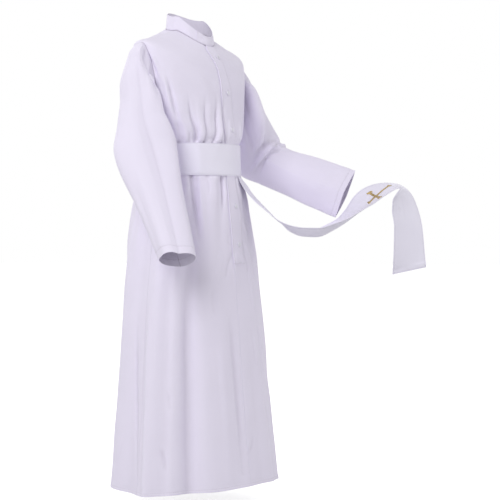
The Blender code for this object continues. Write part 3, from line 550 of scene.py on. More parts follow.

# The body's creases: bearing round the body and drop below the origin.
BODY_CREASES = table(
    Crease,
    # Chest, from the right armhole down and in.
    (-64.5, 0.135, -62, 0.211, -62.5, 0.275, -5.4, 7, 0.1, 0, 0.3),
    (-70, 0.12, -67, 0.19, -67, 0.255, 3.4, 9, 0.1, 0, 0.2),
    (-86, 0.068, -80, 0.104, -76, 0.16, -4.2, 5, 0.6, 0, 0.2),
    (-80, 0.075, -74, 0.12, -71, 0.18, 3.2, 6, 0.4, 0, 0.2, 0.3),
    (-30, 0.11, -22, 0.17, -15, 0.225, 1.6, 20), (-52, 0.11, -45, 0.16, -40, 0.215, -1.4, 16),
    (-50, 0.19, -51, 0.225, -54, 0.262, 2, 11), (-14, 0.13, -12, 0.17, -10, 0.21, -1.1, 13),
    # Gathers above the belt, leaning towards the wearer's right as they go down.
    (-55, 0.18, -58, 0.275, -60, 0.336, 3.2, 9, 0, 1, 0.2),
    (-64, 0.262, -67, 0.3, -70, 0.336, -3, 7, 0, 1, 0.2),
    (-42, 0.18, -45, 0.28, -49, 0.336, -5, 5.5, 0, 1, 0.2),
    (-31, 0.18, -37, 0.28, -44, 0.336, 3.2, 8, 0, 0.7, 0.2, 0.3),
    (-22, 0.19, -31, 0.285, -39, 0.336, -5.2, 4.6, 0, 1, 0.2),
    (-16, 0.185, -24.5, 0.285, -33, 0.336, 2.6, 7, 0, 0.7, 0.2, 0.3),
    (-9, 0.19, -17, 0.28, -27, 0.336, -5.4, 4.4, 0, 1, 0.2),
    (-5, 0.165, -11, 0.276, -21, 0.336, 3, 7, 0, 0.7, 0.3, 0.3),
    (-1.5, 0.19, -6.5, 0.272, -14.5, 0.336, -5.6, 4, 0, 1, 0.4),
    (3, 0.24, 0, 0.295, -6, 0.336, 2.6, 6, 0, 1, 0.2),
    (-54, 0.3, -54.5, 0.318, -56, 0.336, -2.2, 4, 0, 1),
    (-36, 0.306, -38, 0.322, -40, 0.336, 1.8, 3, 0, 1),
    # The same on the left chest and at the left armhole.
    (70, 0.1, 66, 0.18, 62, 0.25, -3.2, 14, 0.1, 0, 0.3),
    (79, 0.08, 75, 0.14, 70, 0.21, 3.8, 11, 0.3, 0, 0.2),
    (42, 0.215, 40, 0.27, 36, 0.33, -2.9, 9, 0, 1, 0.2), (24, 0.255, 21, 0.295, 19, 0.333, 2.9, 5, 0, 1),
    (58, 0.268, 59, 0.3, 61, 0.333, 2.7, 6, 0, 1),
    # Back of the shoulders and above the belt behind.
    (112, 0.085, 126, 0.15, 140, 0.225, -3.2, 14, 0.2, 0, 0.2),
    (-112, 0.08, -127, 0.14, -146, 0.2, -3.5, 15, 0.2, 0, 0.2),
    (104, 0.12, 114, 0.18, 122, 0.25, 2.9, 11, 0.2), (-105, 0.125, -116, 0.19, -124, 0.262, 3, 12, 0.2),
    (165, 0.03, 180, 0.045, -163, 0.034, 2.1, 13), (150, 0.25, 157, 0.29, 160, 0.333, 3, 6, 0, 1, 0.2),
    (-148, 0.235, -145, 0.285, -147, 0.333, -3.2, 7, 0, 1, 0.2),
    (178, 0.262, 177, 0.3, 176, 0.333, -2.7, 6, 0, 1),
    (-128, 0.262, -129, 0.3, -131, 0.333, 2.6, 5, 0, 1),
    (128, 0.27, 127, 0.304, 126, 0.333, -2.6, 5, 0, 1),
    # Skirt under the belt, in front.
    (-53, 0.431, -46, 0.52, -37, 0.65, -8, 7.5, 1, 0, 0.2),
    (-43.5, 0.431, -39, 0.51, -33, 0.64, 5, 8, 1, 0, 0.3, 0.4),
    (-48, 0.431, -47, 0.446, -45.5, 0.47, 2.2, 4, 1), (-34, 0.431, -32, 0.455, -30, 0.5, -2.2, 6, 1),
    (-24, 0.431, -23, 0.47, -22, 0.54, 2.2, 8, 1),
    (-13.8, 0.431, -12.5, 0.472, -14, 0.555, -6, 4.5, 1, 0, 0.2),
    (-8.5, 0.431, -8, 0.47, -9, 0.53, 2.4, 5, 1), (10, 0.431, 11, 0.48, 13, 0.56, -3, 6, 1),
    (22, 0.431, 24, 0.5, 27, 0.59, 3, 8, 1), (38, 0.431, 39, 0.49, 41, 0.56, -1.6, 7, 1),
    (57, 0.431, 58, 0.52, 59, 0.64, 3, 9, 1), (48, 0.431, 49, 0.48, 51, 0.56, 2.4, 6, 1),
    # Ripples beside the opening and the fan of creases below its end.
    (-5, 0.455, -6.5, 0.48, -5, 0.51, 1.3, 5), (8, 0.52, 10, 0.545, 8, 0.57, 1.9, 6),
    (-7, 0.59, -8, 0.618, -6, 0.645, -1.8, 6), (8, 0.61, 10, 0.64, 13, 0.672, -2.6, 6),
    (-4, 0.652, -10.5, 0.692, -14, 0.74, -3, 7, 0.5, 0, 0.2), (-1, 0.668, -3, 0.72, -4, 0.8, 2.6, 8, 0.6),
    (5, 0.655, 13, 0.683, 12, 0.745, -2.8, 7, 0.5, 0, 0.2), (13, 0.7, 17, 0.76, 19, 0.85, 2.4, 9),
    (-17, 0.64, -20, 0.69, -23, 0.75, 2.4, 10), (14, 0.452, 18, 0.478, 17, 0.512, 2.2, 5),
    (19, 0.455, 24, 0.49, 25, 0.53, -2.4, 6), (10, 0.56, 16, 0.59, 19, 0.63, 2.6, 6),
    (16, 0.545, 22, 0.58, 26, 0.632, -2.4, 7), (12, 0.628, 18, 0.655, 23, 0.7, 2.2, 7),
    (21, 0.64, 27, 0.69, 30, 0.76, -2.2, 9),
    # Down the front of the skirt.
    (-51, 0.6, -50.5, 1, -50, 1.35, -9, 21, 0, 1, 0.2),
    (-62, 0.68, -62, 1.02, -63, 1.35, 5, 18, 0, 1, 0.2),
    (-36, 0.76, -36, 1.13, -36, 1.35, 5.5, 22, 0, 1, 0.2), (-25.5, 0.74, -28, 0.8, -24.5, 0.86, -3.4, 13),
    (-13.5, 0.8, -9.5, 1.03, -9, 1.29, -8, 14, 0, 0.3, 0.2),
    (-24, 0.86, -22, 1.06, -21, 1.3, 4, 17, 0, 0.4, 0.2), (0, 0.9, 1, 1.06, 2, 1.18, 2.2, 15),
    (12, 0.86, 16, 0.94, 18, 1, 2.8, 8), (20, 0.82, 24, 0.94, 26, 1.08, -2.4, 11),
    (1, 1.19, -2, 1.219, -4.5, 1.24, 2.6, 5), (4, 1.18, 2, 1.21, -1, 1.244, -1.9, 6),
    (-101.5, 0.8, -98.5, 1.08, -90, 1.32, -5, 6, 0, 0.4, 0.3),
    (-85.5, 0.74, -83.5, 1.055, -80.5, 1.348, 7.5, 9, 0, 1, 0.3, 0.6),
    (-71, 1.205, -68.5, 1.243, -67, 1.285, -2.6, 7), (-65, 1.045, -64.5, 1.083, -63, 1.12, -2.2, 8),
    (-44, 1.08, -41, 1.2, -37, 1.29, 1.8, 16), (26, 1.04, 30, 1.18, 32, 1.345, -3.4, 14, 0, 0.9, 0.2),
    (44, 1.01, 43, 1.16, 42, 1.345, 3.2, 12, 0, 0.9), (60, 0.7, 66, 0.87, 70, 1.02, -3, 12),
    (72, 0.96, 74, 1.15, 76, 1.348, 3.2, 12, 0, 0.9),
    # Side and back of the skirt.
    (92, 0.44, 93, 0.62, 96, 0.82, 3.2, 12, 0.8, 0, 0.2),
    (110, 0.431, 112, 0.56, 116, 0.74, -3.5, 11, 1, 0, 0.2),
    (134, 0.431, 134, 0.6, 130, 0.86, 3.5, 12, 1, 0, 0.3),
    (154, 0.431, 153, 0.62, 148, 0.9, -3.5, 12, 1, 0, 0.3),
    (174, 0.431, 176, 0.64, 172, 0.96, 3.2, 13, 1, 0, 0.2),
    (-166, 0.431, -168, 0.6, -174, 0.86, -3.5, 12, 1, 0, 0.3),
    (-146, 0.431, -148, 0.56, -152, 0.76, 3.2, 11, 1, 0, 0.2),
    (-125, 0.431, -126, 0.58, -130, 0.8, -3.4, 12, 1, 0, 0.2),
    (-105, 0.431, -107, 0.56, -110, 0.72, 3.2, 11, 1, 0, 0.2),
    (108, 0.9, 106, 1.12, 107, 1.34, -4.2, 16, 0, 0.8, 0.3),
    (147, 0.86, 150, 1.1, 152, 1.335, 4.2, 17, 0, 0.8, 0.3),
    (-176, 0.9, -178, 1.12, 179, 1.335, -3.8, 16, 0, 0.8, 0.3),
    (-152, 0.88, -156, 1.1, -158, 1.335, 3.8, 16, 0, 0.8, 0.2),
    (-131, 0.9, -134, 1.12, -137, 1.34, -3.8, 16, 0, 0.8, 0.3), (125, 1.02, 128, 1.08, 133, 1.14, 2.6, 9),
    (-142, 0.7, -138, 0.76, -133, 0.81, -2.6, 10), (162, 0.72, 167, 0.77, 173, 0.8, 2.4, 10),
    (-113, 1.18, -116, 1.23, -120, 1.27, 2.4, 8),
    # The seat of the skirt, which hangs a little hollow behind.
    (160, 0.52, 180, 0.545, -160, 0.522, 2.6, 20),
)


@dataclass(frozen=True)
class BodyForm:
    """The body of the garment as one surface of a bearing and a level."""

    front_dip: float = 1.3
    back_dip: float = 2.0
    front_flatness: float = 0.75
    fold_run_in: float = 0.012
    lean_limit: float = 1.5
    crease_run_in: float = 0.006
    armhole_inset_front: float = 10.0
    armhole_inset_back: float = 33.0
    armhole_power: float = 0.9
    opening_bearing: float = 3.0
    lap_past_centre: float = 0.023
    underlap: float = 0.019
    angle_step: float = 0.5
    level_step: float = 0.01
    loose_by_level: float = 1.5
    metres_per_degree: float = 0.0033
    back_calm: float = 12.0
    slack: Slack = Slack(7, 0.0007, 0.105)

    def section_at(self, level: Array) -> Section:
        """The section at any level between the named ones."""
        return Section(*np.moveaxis(eased_rows(range(len(SECTIONS)), SECTIONS, level), -1, 0))

    def fold_depth(self, angle: Array, drop: Array) -> Array:
        """Adds up the gathers and folds: each is a bell curve of the bearing, eased in from the belt."""
        depth = np.zeros(np.broadcast(angle, drop).shape)
        above = TOP_DROP - drop
        for g in GATHERS:
            share = smooth(above / self.fold_run_in) * (1 - smooth((above - self.fold_run_in) / g.rise))
            bearing = g.bearing + g.lean * np.clip(above / g.rise, 0, self.lean_limit)
            depth += g.depth * share * bell(turned(angle - bearing), g.spread)
        below = np.clip((drop - BOTTOM_DROP) / (SECTIONS[HEM].drop_side - BOTTOM_DROP), 0, 1)
        start = smooth((drop - BOTTOM_DROP) / self.fold_run_in)
        for f in FOLDS:
            bearing = f.bearing_belt + turned(f.bearing_hem - f.bearing_belt) * below
            spread = f.spread_belt + (f.spread_hem - f.spread_belt) * below
            height = f.depth_belt + (f.depth_hem - f.depth_belt) * below
            depth += height * start * bell(turned(angle - bearing), spread)
        return depth

    def point(self, angle: Array | float, level: Array | float) -> Array:
        """The surface: a rounded oval at each level, whose drop eases from its sides to front and back."""
        angle, level = paired(angle, level)
        cut = self.section_at(level)
        sine, cosine = np.sin(np.radians(angle)), np.cos(np.radians(angle))
        is_front = cosine > 0
        ends = np.where(is_front, cut.drop_front, cut.drop_back)
        dip = np.where(is_front, self.front_dip, self.back_dip)
        drop = cut.drop_side + (ends - cut.drop_side) * np.abs(cosine) ** dip
        power = 2.0 / cut.squareness
        depth = np.where(is_front, cut.front_depth, cut.back_depth)
        x = cut.half_width * signed_power(sine, power)
        y = cut.centre_y - depth * signed_power(cosine, power)
        out = unit(np.stack([sine / cut.half_width, -cosine / depth], axis=-1))
        lift = self.fold_depth(angle, drop)
        return np.stack([x + out[..., 0] * lift, y + out[..., 1] * lift, -drop], axis=-1)

    def normal(self, angle: Array | float, level: Array | float) -> Array:
        """The surface's outward normal, from small steps both ways."""
        turn, step = self.angle_step, self.level_step
        inside = np.clip(level, step, HEM - step)
        along_angle = self.point(angle + turn, inside) - self.point(angle - turn, inside)
        along_level = self.point(angle, inside + step) - self.point(angle, inside - step)
        return unit(np.cross(along_level, along_angle))

    def creased(self, angle: Array, level: Array) -> Array:
        """Height of the listed creases and of a slack unevenness, which both stop at the belt."""
        drop = -self.point(angle, level)[..., 2]
        cut = self.section_at(level)
        scale = np.radians(1.0) * (cut.half_width + (cut.front_depth + cut.back_depth) / 2) / 2
        height = PRESS.depth(angle, drop, scale, BODY_CREASES)
        to_belt = np.maximum(TOP_DROP - drop, drop - BOTTOM_DROP)
        inwards = np.where(height < 0, self.crease_run_in, 0.0)
        away = smooth((to_belt + inwards) / self.crease_run_in)
        loose = smooth(level / self.loose_by_level)
        wave = self.slack.at(turned(angle) * self.metres_per_degree, drop)
        back = 1 - bell(np.abs(turned(angle)) - 180.0, self.back_calm)
        return height * away + wave * away * loose * back

    def faces(self, angle: Array | float, level: Array | float, *lifts: Array | float) -> list[Array]:
        """The creased surface moved along its outward normal by each lift."""
        angle, level = paired(angle, level)
        base, out, height = self.point(angle, level), self.normal(angle, level), self.creased(angle, level)
        return [base + out * (height + lift)[..., None] for lift in lifts]

    def degrees_at(self, level: Array | float, length: float) -> Array:
        """The angle that a length spans at the centre front of a level."""
        cut = self.section_at(np.asarray(level, float))
        radius = np.maximum(cut.front_depth, cut.half_width**2 / cut.front_depth * self.front_flatness)
        return np.degrees(length / radius)

    def armhole_level(self, turn: Array) -> Array:
        """Level of the armhole's edge, whose turn is 0 at the shoulder tip and a half at the underarm."""
        return ARMHOLE - np.cos(2 * np.pi * turn)

    def inset_angle(self, wave: Array) -> Array:
        """Bearing of the armhole's edge: in from the side in front, where the wave is above 0, and behind."""
        inset = np.where(wave > 0, self.armhole_inset_front, -self.armhole_inset_back)
        return 90.0 - inset * np.abs(wave) ** self.armhole_power

    def armhole_angle(self, turn: Array, side: Side) -> Array:
        """Bearing of the armhole's edge: the front half is turn 0 to a half and the back half the rest."""
        return side.value * self.inset_angle(np.sin(2 * np.pi * (turn % 1.0)))

    def edge_angle(self, level: Array, is_front: bool) -> Array:
        """Where a panel ends at a level: at the side or shoulder seam, or at the armhole."""
        wave = np.sqrt(np.clip(1 - (level - ARMHOLE) ** 2, 0, 1))
        return self.inset_angle(wave if is_front else -wave)

    def lap_angles(self, level: Array, columns: Array) -> Array:
        """Columns over the lap, from the left front's edge (0) to the underlap's end (1)."""
        start = self.opening_bearing - self.degrees_at(level, self.lap_past_centre)
        end = self.opening_bearing + self.degrees_at(level, self.underlap)
        return start[..., None] + (end - start)[..., None] * columns

    def opening(self, levels: Array) -> Array:
        """The front opening's line on the plain surface."""
        return self.point(self.opening_bearing, levels)

    def level_at_front_drop(self, drop: float) -> float:
        """The level at which the front opening lies at a drop."""
        levels = np.linspace(0, HEM, FINE)
        return float(np.interp(drop, -self.opening(levels)[:, 2], levels))


@dataclass(frozen=True)
class BodyGrid:
    """The rows that the panels share."""

    form: BodyForm
    neck_rows: int = 22
    armhole_steps: int = 76
    blouse_rows: int = 30
    belt_rows: int = 8
    skirt_step: float = 0.005
    skirt_bearing: float = -50.0
    skirt_marks: int = 1401
    hem: float = 0.009

    def rows(self) -> Array:
        """Levels of the rows, with the armhole's own rows and one on the hem's stitching."""
        neck = np.linspace(NECK, TIP, self.neck_rows + 1)[:-1]
        armhole = self.form.armhole_level(np.arange(self.armhole_steps + 1) / (2 * self.armhole_steps))
        blouse = np.linspace(UNDERARM, BELT_TOP, self.blouse_rows + 1)[1:]
        belt = np.linspace(BELT_TOP, BELT_BOTTOM, self.belt_rows + 1)[1:]
        dense = np.linspace(BELT_BOTTOM, HEM, self.skirt_marks)
        run = run_along(self.form.point(self.skirt_bearing, dense), 0)
        skirt = np.interp(marks(run[-1], self.skirt_step, run[-1] - self.hem), run, dense)[1:]
        return np.concatenate([neck, armhole, blouse, belt, skirt])


@dataclass(frozen=True)
class Panel:
    """A front or the back, sewn at its borders and hemmed at its foot."""

    grid: BodyGrid
    cloth: float = 0.0012
    hem_lift: float = 0.0010
    hem_edge: float = 0.004
    plain_seam: float = 0.0017

    def wall(
        self, name: str, angles: Array, lift: Array | float, sewn: Sequence[int], shift: float
    ) -> ClothWall:
        """A panel between its columns' bearings.

        Args:
            name: the piece's name.
            angles: bearing of each point, a row for each level.
            lift: how far the cloth is moved out there.
            sewn: the border columns that are sewn, 0 or -1.
            shift: how far those borders are moved along Y, but not along an armhole.

        Returns:
            The wall.
        """
        form, levels = self.grid.form, self.grid.rows()
        base = form.point(angles, levels[:, None])
        down, along = run_along(base, 0), run_along(base, 1)
        to_hem = down[-1] - down
        lift = lift + self.hem_lift * (1 - smooth((to_hem - self.grid.hem) / self.hem_edge))
        outer, inner = form.faces(angles, levels[:, None], lift, lift - self.cloth)
        straight = (levels <= TIP) | (levels >= UNDERARM)
        for column in sewn:
            outer[straight, column, 1] += shift
            inner[straight, column, 1] += shift
        pressed_flat = np.where(straight, self.plain_seam, 0.0)[:, None]
        borders = [(along if column == 0 else along[:, -1:] - along) + pressed_flat for column in sewn]
        seam = np.minimum.reduce([down, *borders])
        return ClothWall(name, outer, inner, np.abs(to_hem - self.grid.hem), seam)


@dataclass(frozen=True)
class FrontPanel(Panel):
    """A front. The right one runs under the left one."""

    side_columns: int = 100
    lap_columns: int = 8
    lap_ease: float = 0.012
    sewn_ease: float = 0.0006
    sewn_below: float = 0.690
    sewn_run_in: float = 0.02

    def make(self, side: Side) -> ClothWall:
        """The front on one side, with its lap pushed in by one cloth where the other covers it."""
        form, levels = self.grid.form, self.grid.rows()
        shared = form.lap_angles(levels, np.linspace(0, 1, self.lap_columns + 1))
        edge = side.value * form.edge_angle(levels, True)[:, None]
        share = np.linspace(0, 1, self.side_columns + 1)
        if side is Side.LEFT:
            end = shared[:, -1:]
            angles = np.concatenate([shared, (end + (edge - end) * share)[:, 1:]], axis=1)
            return self.wall("front_left_cloth", angles, 0.0, [-1], -SEAM_GAP / 2)
        groove = shared[:, :1] - form.degrees_at(levels, self.sewn_ease)[:, None]
        angles = np.concatenate([edge + (groove - edge) * share, shared], axis=1)
        run = run_along(form.point(angles, levels[:, None]), 1)
        to_lap = run[:, self.side_columns + 1][:, None] - run
        sewn = smooth((-form.opening(levels)[:, 2:] - self.sewn_below) / self.sewn_run_in)
        ease = self.lap_ease + (self.sewn_ease - self.lap_ease) * sewn
        lift = -(self.cloth + SEAM_GAP) * smooth(1 - to_lap / ease)
        return self.wall("front_right_cloth", angles, lift, [0], -SEAM_GAP / 2)


@dataclass(frozen=True)
class BackPanel(Panel):
    """The back, all in one."""

    columns: int = 140

    def make(self) -> ClothWall:
        """The back, from the left side seam round to the right one."""
        edge = self.grid.form.edge_angle(self.grid.rows(), False)[:, None]
        angles = edge + (360.0 - 2 * edge) * np.linspace(0, 1, self.columns + 1)
        return self.wall("back_cloth", angles, 0.0, [0, -1], SEAM_GAP / 2)


@dataclass(frozen=True)
class Placket:
    """The strip sewn down the left front's edge, and the buttons' places on it."""

    form: BodyForm
    cloth: float = 0.0010
    fullness: float = 0.0009
    edge: float = 0.005
    stitch_in: float = 0.003
    width: float = 0.042
    end_drop: float = 0.690
    below_collar: float = 0.0006
    row_step: float = 0.005
    column_step: float = 0.0015
    first_button_drop: float = 0.076
    button_spacing: float = 0.113
    button_count: int = 6
    clear_of_belt: float = 0.15
    roll: float = 0.0009
    roll_in: float = 0.0024
    roll_width: float = 0.0016

    @property
    def top(self) -> float:
        """Height of the strip's full outer face."""
        return SEAM_GAP + self.cloth + self.fullness

    def lift(self, across: Array) -> Array:
        """Height of the outer face: full in the middle, eased down at both edges, with a rolled edge."""
        to_edge = np.minimum(across, self.width - across)
        roll = self.roll * bell(across - self.roll_in, self.roll_width)
        return SEAM_GAP + self.cloth + self.fullness * smooth(to_edge / self.edge) + roll

    def make(self) -> ClothWall:
        """The strip, with stitching along both edges."""
        levels = np.linspace(0, self.form.level_at_front_drop(self.end_drop), 1201)
        run = run_along(self.form.opening(levels), 0)
        length = run[-1] - self.below_collar
        stops = marks(length, self.row_step, length - self.stitch_in)
        rows = np.interp(stops + self.below_collar, run, levels)
        across = marks(self.width, self.column_step, self.stitch_in, self.width - self.stitch_in)
        angles = self.form.lap_angles(rows, across / self.width)
        outer, inner = self.form.faces(angles, rows[:, None], self.lift(across), SEAM_GAP)
        end = np.abs(stops[-1] - stops - self.stitch_in)[:, None]
        stitch = np.minimum(edge_lines(across, self.width, self.stitch_in), end)
        return ClothWall("placket_cloth", outer, inner, stitch)

    def button_levels(self) -> dict[int, float]:
        """Levels of the buttons that the belt doesn't cover, by their numbers down the front."""
        levels = np.linspace(0, HEM, FINE)
        line = self.form.opening(levels)
        run = run_along(line, 0)
        first = np.interp(self.first_button_drop, -line[:, 2], run)
        places = np.interp(first + self.button_spacing * np.arange(self.button_count), run, levels)
        low, high = BELT_TOP - self.clear_of_belt, BELT_BOTTOM + self.clear_of_belt
        return {k + 1: float(at) for k, at in enumerate(places) if not low < at < high}

    def seat(self, level: float, lift: float) -> tuple[Array, Array, Array, Array]:
        """A place on the strip so far out of its face, and unit vectors to the left, up and out there."""
        place = self.form.faces(self.form.opening_bearing, level, self.top + lift)[0]
        out = self.form.normal(self.form.opening_bearing, level)
        left = unit(np.cross(UP, out))
        return place, left, np.cross(out, left), out


@dataclass(frozen=True)
class Collar:
    """The band round the neck, whose left end laps over its right end past the centre front."""

    form: BodyForm
    cloth: float = 0.0018
    seam_gap: float = 0.0006
    lap_angle: float = 38.0
    underlap_angle: float = 12.0
    rise_side: float = 0.042
    rise_front: float = 0.029
    rise_back: float = 0.043
    taper: float = 0.004
    belly: float = 0.0012
    step_in: float = 18.0
    step_lead: float = 1.1
    columns: int = 150
    rows: int = 14
    stitch_in: float = 0.004
    metres_per_degree: float = 0.0013
    creases: tuple[Crease, ...] = table(
        Crease,
        (-33, 0.028, -24, 0.022, -14, 0.026, -2.6, 8), (-30, 0.008, -22, 0.008, -12, 0.01, 1, 5),
        (-60, 0.004, -58, 0.02, -52, 0.036, 0.7, 9), (-95, 0.036, -88, 0.02, -84, 0.006, -0.7, 9),
        (60, 0.004, 66, 0.02, 70, 0.036, -0.7, 10), (150, 0.006, 156, 0.022, 160, 0.038, 0.8, 11),
        (-150, 0.038, -146, 0.02, -140, 0.004, -0.8, 11),
    )

    def face(self, angle: Array, rise: Array, lift: Array) -> Array:
        """The band: the neck's edge raised by its height there, leaning in by its taper."""
        points = self.form.faces(angle, 0.0, 0.0)[0]
        cosine = np.cos(np.radians(angle))
        ends = np.where(cosine > 0, self.rise_front, self.rise_back)
        height = self.rise_side + (ends - self.rise_side) * np.abs(cosine) ** self.form.front_dip
        out = unit(points[..., :2] - np.array([0.0, SECTIONS[NECK].centre_y]))
        radial = lift - self.taper * rise + self.belly * np.sin(np.pi * rise)
        points[..., :2] += out * radial[..., None]
        points[..., 2] += self.seam_gap + height * rise
        return points

    def make(self) -> ClothWall:
        """The band with its lap."""
        angles = np.linspace(-self.lap_angle, 360.0 + self.underlap_angle, self.columns + 1)
        angle, rise = np.meshgrid(angles, np.linspace(0, 1, self.rows + 1))
        under = smooth((angle - (360.0 - self.lap_angle)) / self.step_in + self.step_lead)
        dent = PRESS.depth(angle, self.rise_side * rise, self.metres_per_degree, self.creases) * (1 - under)
        lift = dent - under * (self.cloth + SEAM_GAP)
        outer = self.face(angle, rise, lift)
        inner = self.face(angle, rise, lift - self.cloth)
        up, along = run_along(outer, 0), run_along(outer, 1)
        stitch = np.minimum(np.abs(up[-1] - up - self.stitch_in), np.abs(along - self.stitch_in))
        return ClothWall("collar_band", outer, inner, stitch, up)


class Cut(NamedTuple):
    """A sleeve's section at a share of its length: crease edge, under edge and half its thickness.

    aside is away from the wearer's middle, ahead is to the front and drop is down.
    """

    along: float
    crease_aside: float
    crease_ahead: float
    crease_drop: float
    under_aside: float
    under_ahead: float
    under_drop: float
    across: float
    squareness: float


RIGHT_CUTS = table(
    Cut,
    (0, 0.212, -0.023, 0.045, 0.177, -0.008, 0.243, 0.06, 2),
    (0.06, 0.236, -0.024, 0.068, 0.188, -0.014, 0.25, 0.062, 2),
    (0.12, 0.243, -0.021, 0.112, 0.191, -0.018, 0.258, 0.064, 2),
    (0.18, 0.247, -0.01, 0.18, 0.191, -0.019, 0.268, 0.068, 1.9),
    (0.26, 0.256, 0.002, 0.262, 0.188, -0.024, 0.284, 0.075, 1.8),
    (0.4, 0.264, 0.032, 0.341, 0.196, -0.017, 0.359, 0.09, 1.7),
    (0.68, 0.289, 0.107, 0.482, 0.212, 0.056, 0.518, 0.069, 1.7),
    (1, 0.326, 0.2, 0.65, 0.227, 0.14, 0.694, 0.05, 1.8),
)
LEFT_CUTS = table(
    Cut,
    (0, 0.212, -0.023, 0.045, 0.177, -0.008, 0.243, 0.06, 2),
    (0.06, 0.234, -0.02, 0.067, 0.188, -0.01, 0.25, 0.063, 2),
    (0.12, 0.26, -0.006, 0.109, 0.196, -0.01, 0.268, 0.07, 2),
    (0.2, 0.281, 0.017, 0.176, 0.204, -0.01, 0.326, 0.074, 1.9),
    (0.3, 0.303, 0.05, 0.243, 0.228, -0.004, 0.41, 0.066, 1.6),
    (0.41, 0.316, 0.088, 0.309, 0.268, 0.044, 0.44, 0.054, 1.45),
    (0.46, 0.316, 0.106, 0.328, 0.272, 0.066, 0.449, 0.052, 1.4),
    (0.7, 0.32, 0.228, 0.365, 0.284, 0.183, 0.498, 0.042, 1.4),
    (1, 0.322, 0.363, 0.408, 0.294, 0.31, 0.548, 0.03, 1.5),
)

# Creases of the right sleeve: turn round it, 0 on its outer edge and a quarter at the front, and metres
# down it. The first is the long soft edge down its front.
RIGHT_CREASES = table(
    Crease,
    (0.005, 0.04, 0.056, 0.27, 0.062, 0.64, 14, 27, 0.2, 1, 0, 1),
    (0.15, 0.12, 0.165, 0.34, 0.165, 0.64, -4, 24, 0.2, 1),
    (0.12, 0.012, 0.165, 0.06, 0.195, 0.14, 4.2, 12, 0.9, 0, 0.2, 0.2),
    (0.175, 0.01, 0.215, 0.055, 0.235, 0.11, -1.4, 6, 0.8, 0, 0.2),
    (0.04, 0.01, 0.08, 0.045, 0.115, 0.1, -2.6, 5, 0.7, 0, 0.2),
    (0.06, 0.015, 0.1, 0.07, 0.13, 0.15, -2.2, 10, 0.6, 0, 0.2),
    (0.2, 0.02, 0.235, 0.08, 0.25, 0.17, -2, 10, 0.4, 0, 0.2),
    (0.97, 0.03, 0.95, 0.1, 0.945, 0.18, -1.6, 13, 0.2), (0.18, 0.33, 0.2, 0.42, 0.205, 0.52, 1.2, 14),
    (0.93, 0.3, 0.92, 0.43, 0.92, 0.6, -2, 14, 0, 0.6),
    (0.86, 0.33, 0.85, 0.47, 0.835, 0.62, 3.4, 14, 0, 1, 0.2, 0.5),
    (0.42, 0.13, 0.4, 0.2, 0.36, 0.27, -2.2, 11, 0.3), (0.45, 0.2, 0.42, 0.27, 0.37, 0.33, 1.8, 10),
    (0.6, 0.06, 0.64, 0.15, 0.65, 0.25, -2.4, 13, 0.4), (0.7, 0.04, 0.735, 0.13, 0.74, 0.23, 2, 12, 0.4),
    (0.82, 0.03, 0.84, 0.12, 0.83, 0.22, -2.2, 12, 0.4), (0.56, 0.23, 0.62, 0.29, 0.7, 0.31, -2.2, 9),
    (0.59, 0.27, 0.65, 0.33, 0.73, 0.345, 2, 9), (0.64, 0.4, 0.66, 0.48, 0.65, 0.57, 1.5, 13),
    (0.3, 0.56, 0.18, 0.585, 0.08, 0.6, -0.7, 8),
)

# Creases of the left sleeve, whose elbow is bent.
LEFT_CREASES = table(
    Crease,
    (0.14, 0.232, 0.24, 0.219, 0.415, 0.204, -20, 8.5, 0.6, 0.1, 0.1),
    (0.155, 0.207, 0.235, 0.197, 0.36, 0.185, 7, 10, 0.5),
    (0.195, 0.252, 0.285, 0.243, 0.42, 0.236, 3, 9, 0.3, 0, 0.2),
    (0.075, 0.276, 0.108, 0.257, 0.15, 0.238, -7.5, 6.5, 0.3, 0.5, 0.2),
    (0.11, 0.285, 0.14, 0.268, 0.18, 0.252, 3.6, 7, 0.1, 0.2, 0.2),
    (0.06, 0.236, 0.1, 0.228, 0.15, 0.214, 4.2, 8, 0.4, 0.1),
    (0.9, 0.262, 0, 0.262, 0.09, 0.258, -6, 5, 0.2, 0.9),
    (0.9, 0.244, 0, 0.245, 0.09, 0.243, 5, 6, 0.2, 0.5, 0, 0.6),
    (0.19, 0.02, 0.225, 0.1, 0.212, 0.196, -46, 22, 0.5),
    (0.215, 0.05, 0.195, 0.115, 0.175, 0.17, -9, 9, 0.3),
    (0.29, 0.03, 0.3, 0.09, 0.29, 0.16, -8, 14, 0.5), (0.15, 0.17, 0.18, 0.195, 0.23, 0.205, 3, 8),
    (0.11, 0.03, 0.13, 0.11, 0.125, 0.2, 3.6, 12, 0.5, 0, 0.2),
    (0.33, 0.04, 0.32, 0.12, 0.31, 0.2, 3, 11, 0.3, 0.1),
    (0.3, 0.06, 0.33, 0.14, 0.33, 0.215, 2.2, 14, 0.3),
    (0.42, 0.11, 0.43, 0.18, 0.4, 0.25, -2.6, 11, 0.3), (0.25, 0.3, 0.235, 0.4, 0.225, 0.52, 1.2, 20),
    (0.15, 0.33, 0.16, 0.43, 0.14, 0.53, -1, 17), (0.33, 0.36, 0.32, 0.44, 0.31, 0.53, -1.2, 16),
    (0.2, 0.5, 0.15, 0.53, 0.09, 0.56, 0.9, 10), (0.56, 0.1, 0.58, 0.19, 0.6, 0.26, -2.4, 13, 0.3),
    (0.68, 0.06, 0.69, 0.15, 0.68, 0.24, 2.2, 13, 0.4),
    (0.82, 0.04, 0.83, 0.13, 0.83, 0.22, -2.2, 13, 0.4),
    (0.6, 0.255, 0.72, 0.285, 0.85, 0.275, -4.2, 10, 0.1, 0.2, 0.3),
    (0.6, 0.29, 0.72, 0.322, 0.86, 0.312, 2.2, 12), (0.64, 0.36, 0.68, 0.42, 0.66, 0.52, -1.6, 15),
    (0.8, 0.35, 0.78, 0.44, 0.79, 0.54, 1.5, 14),
)


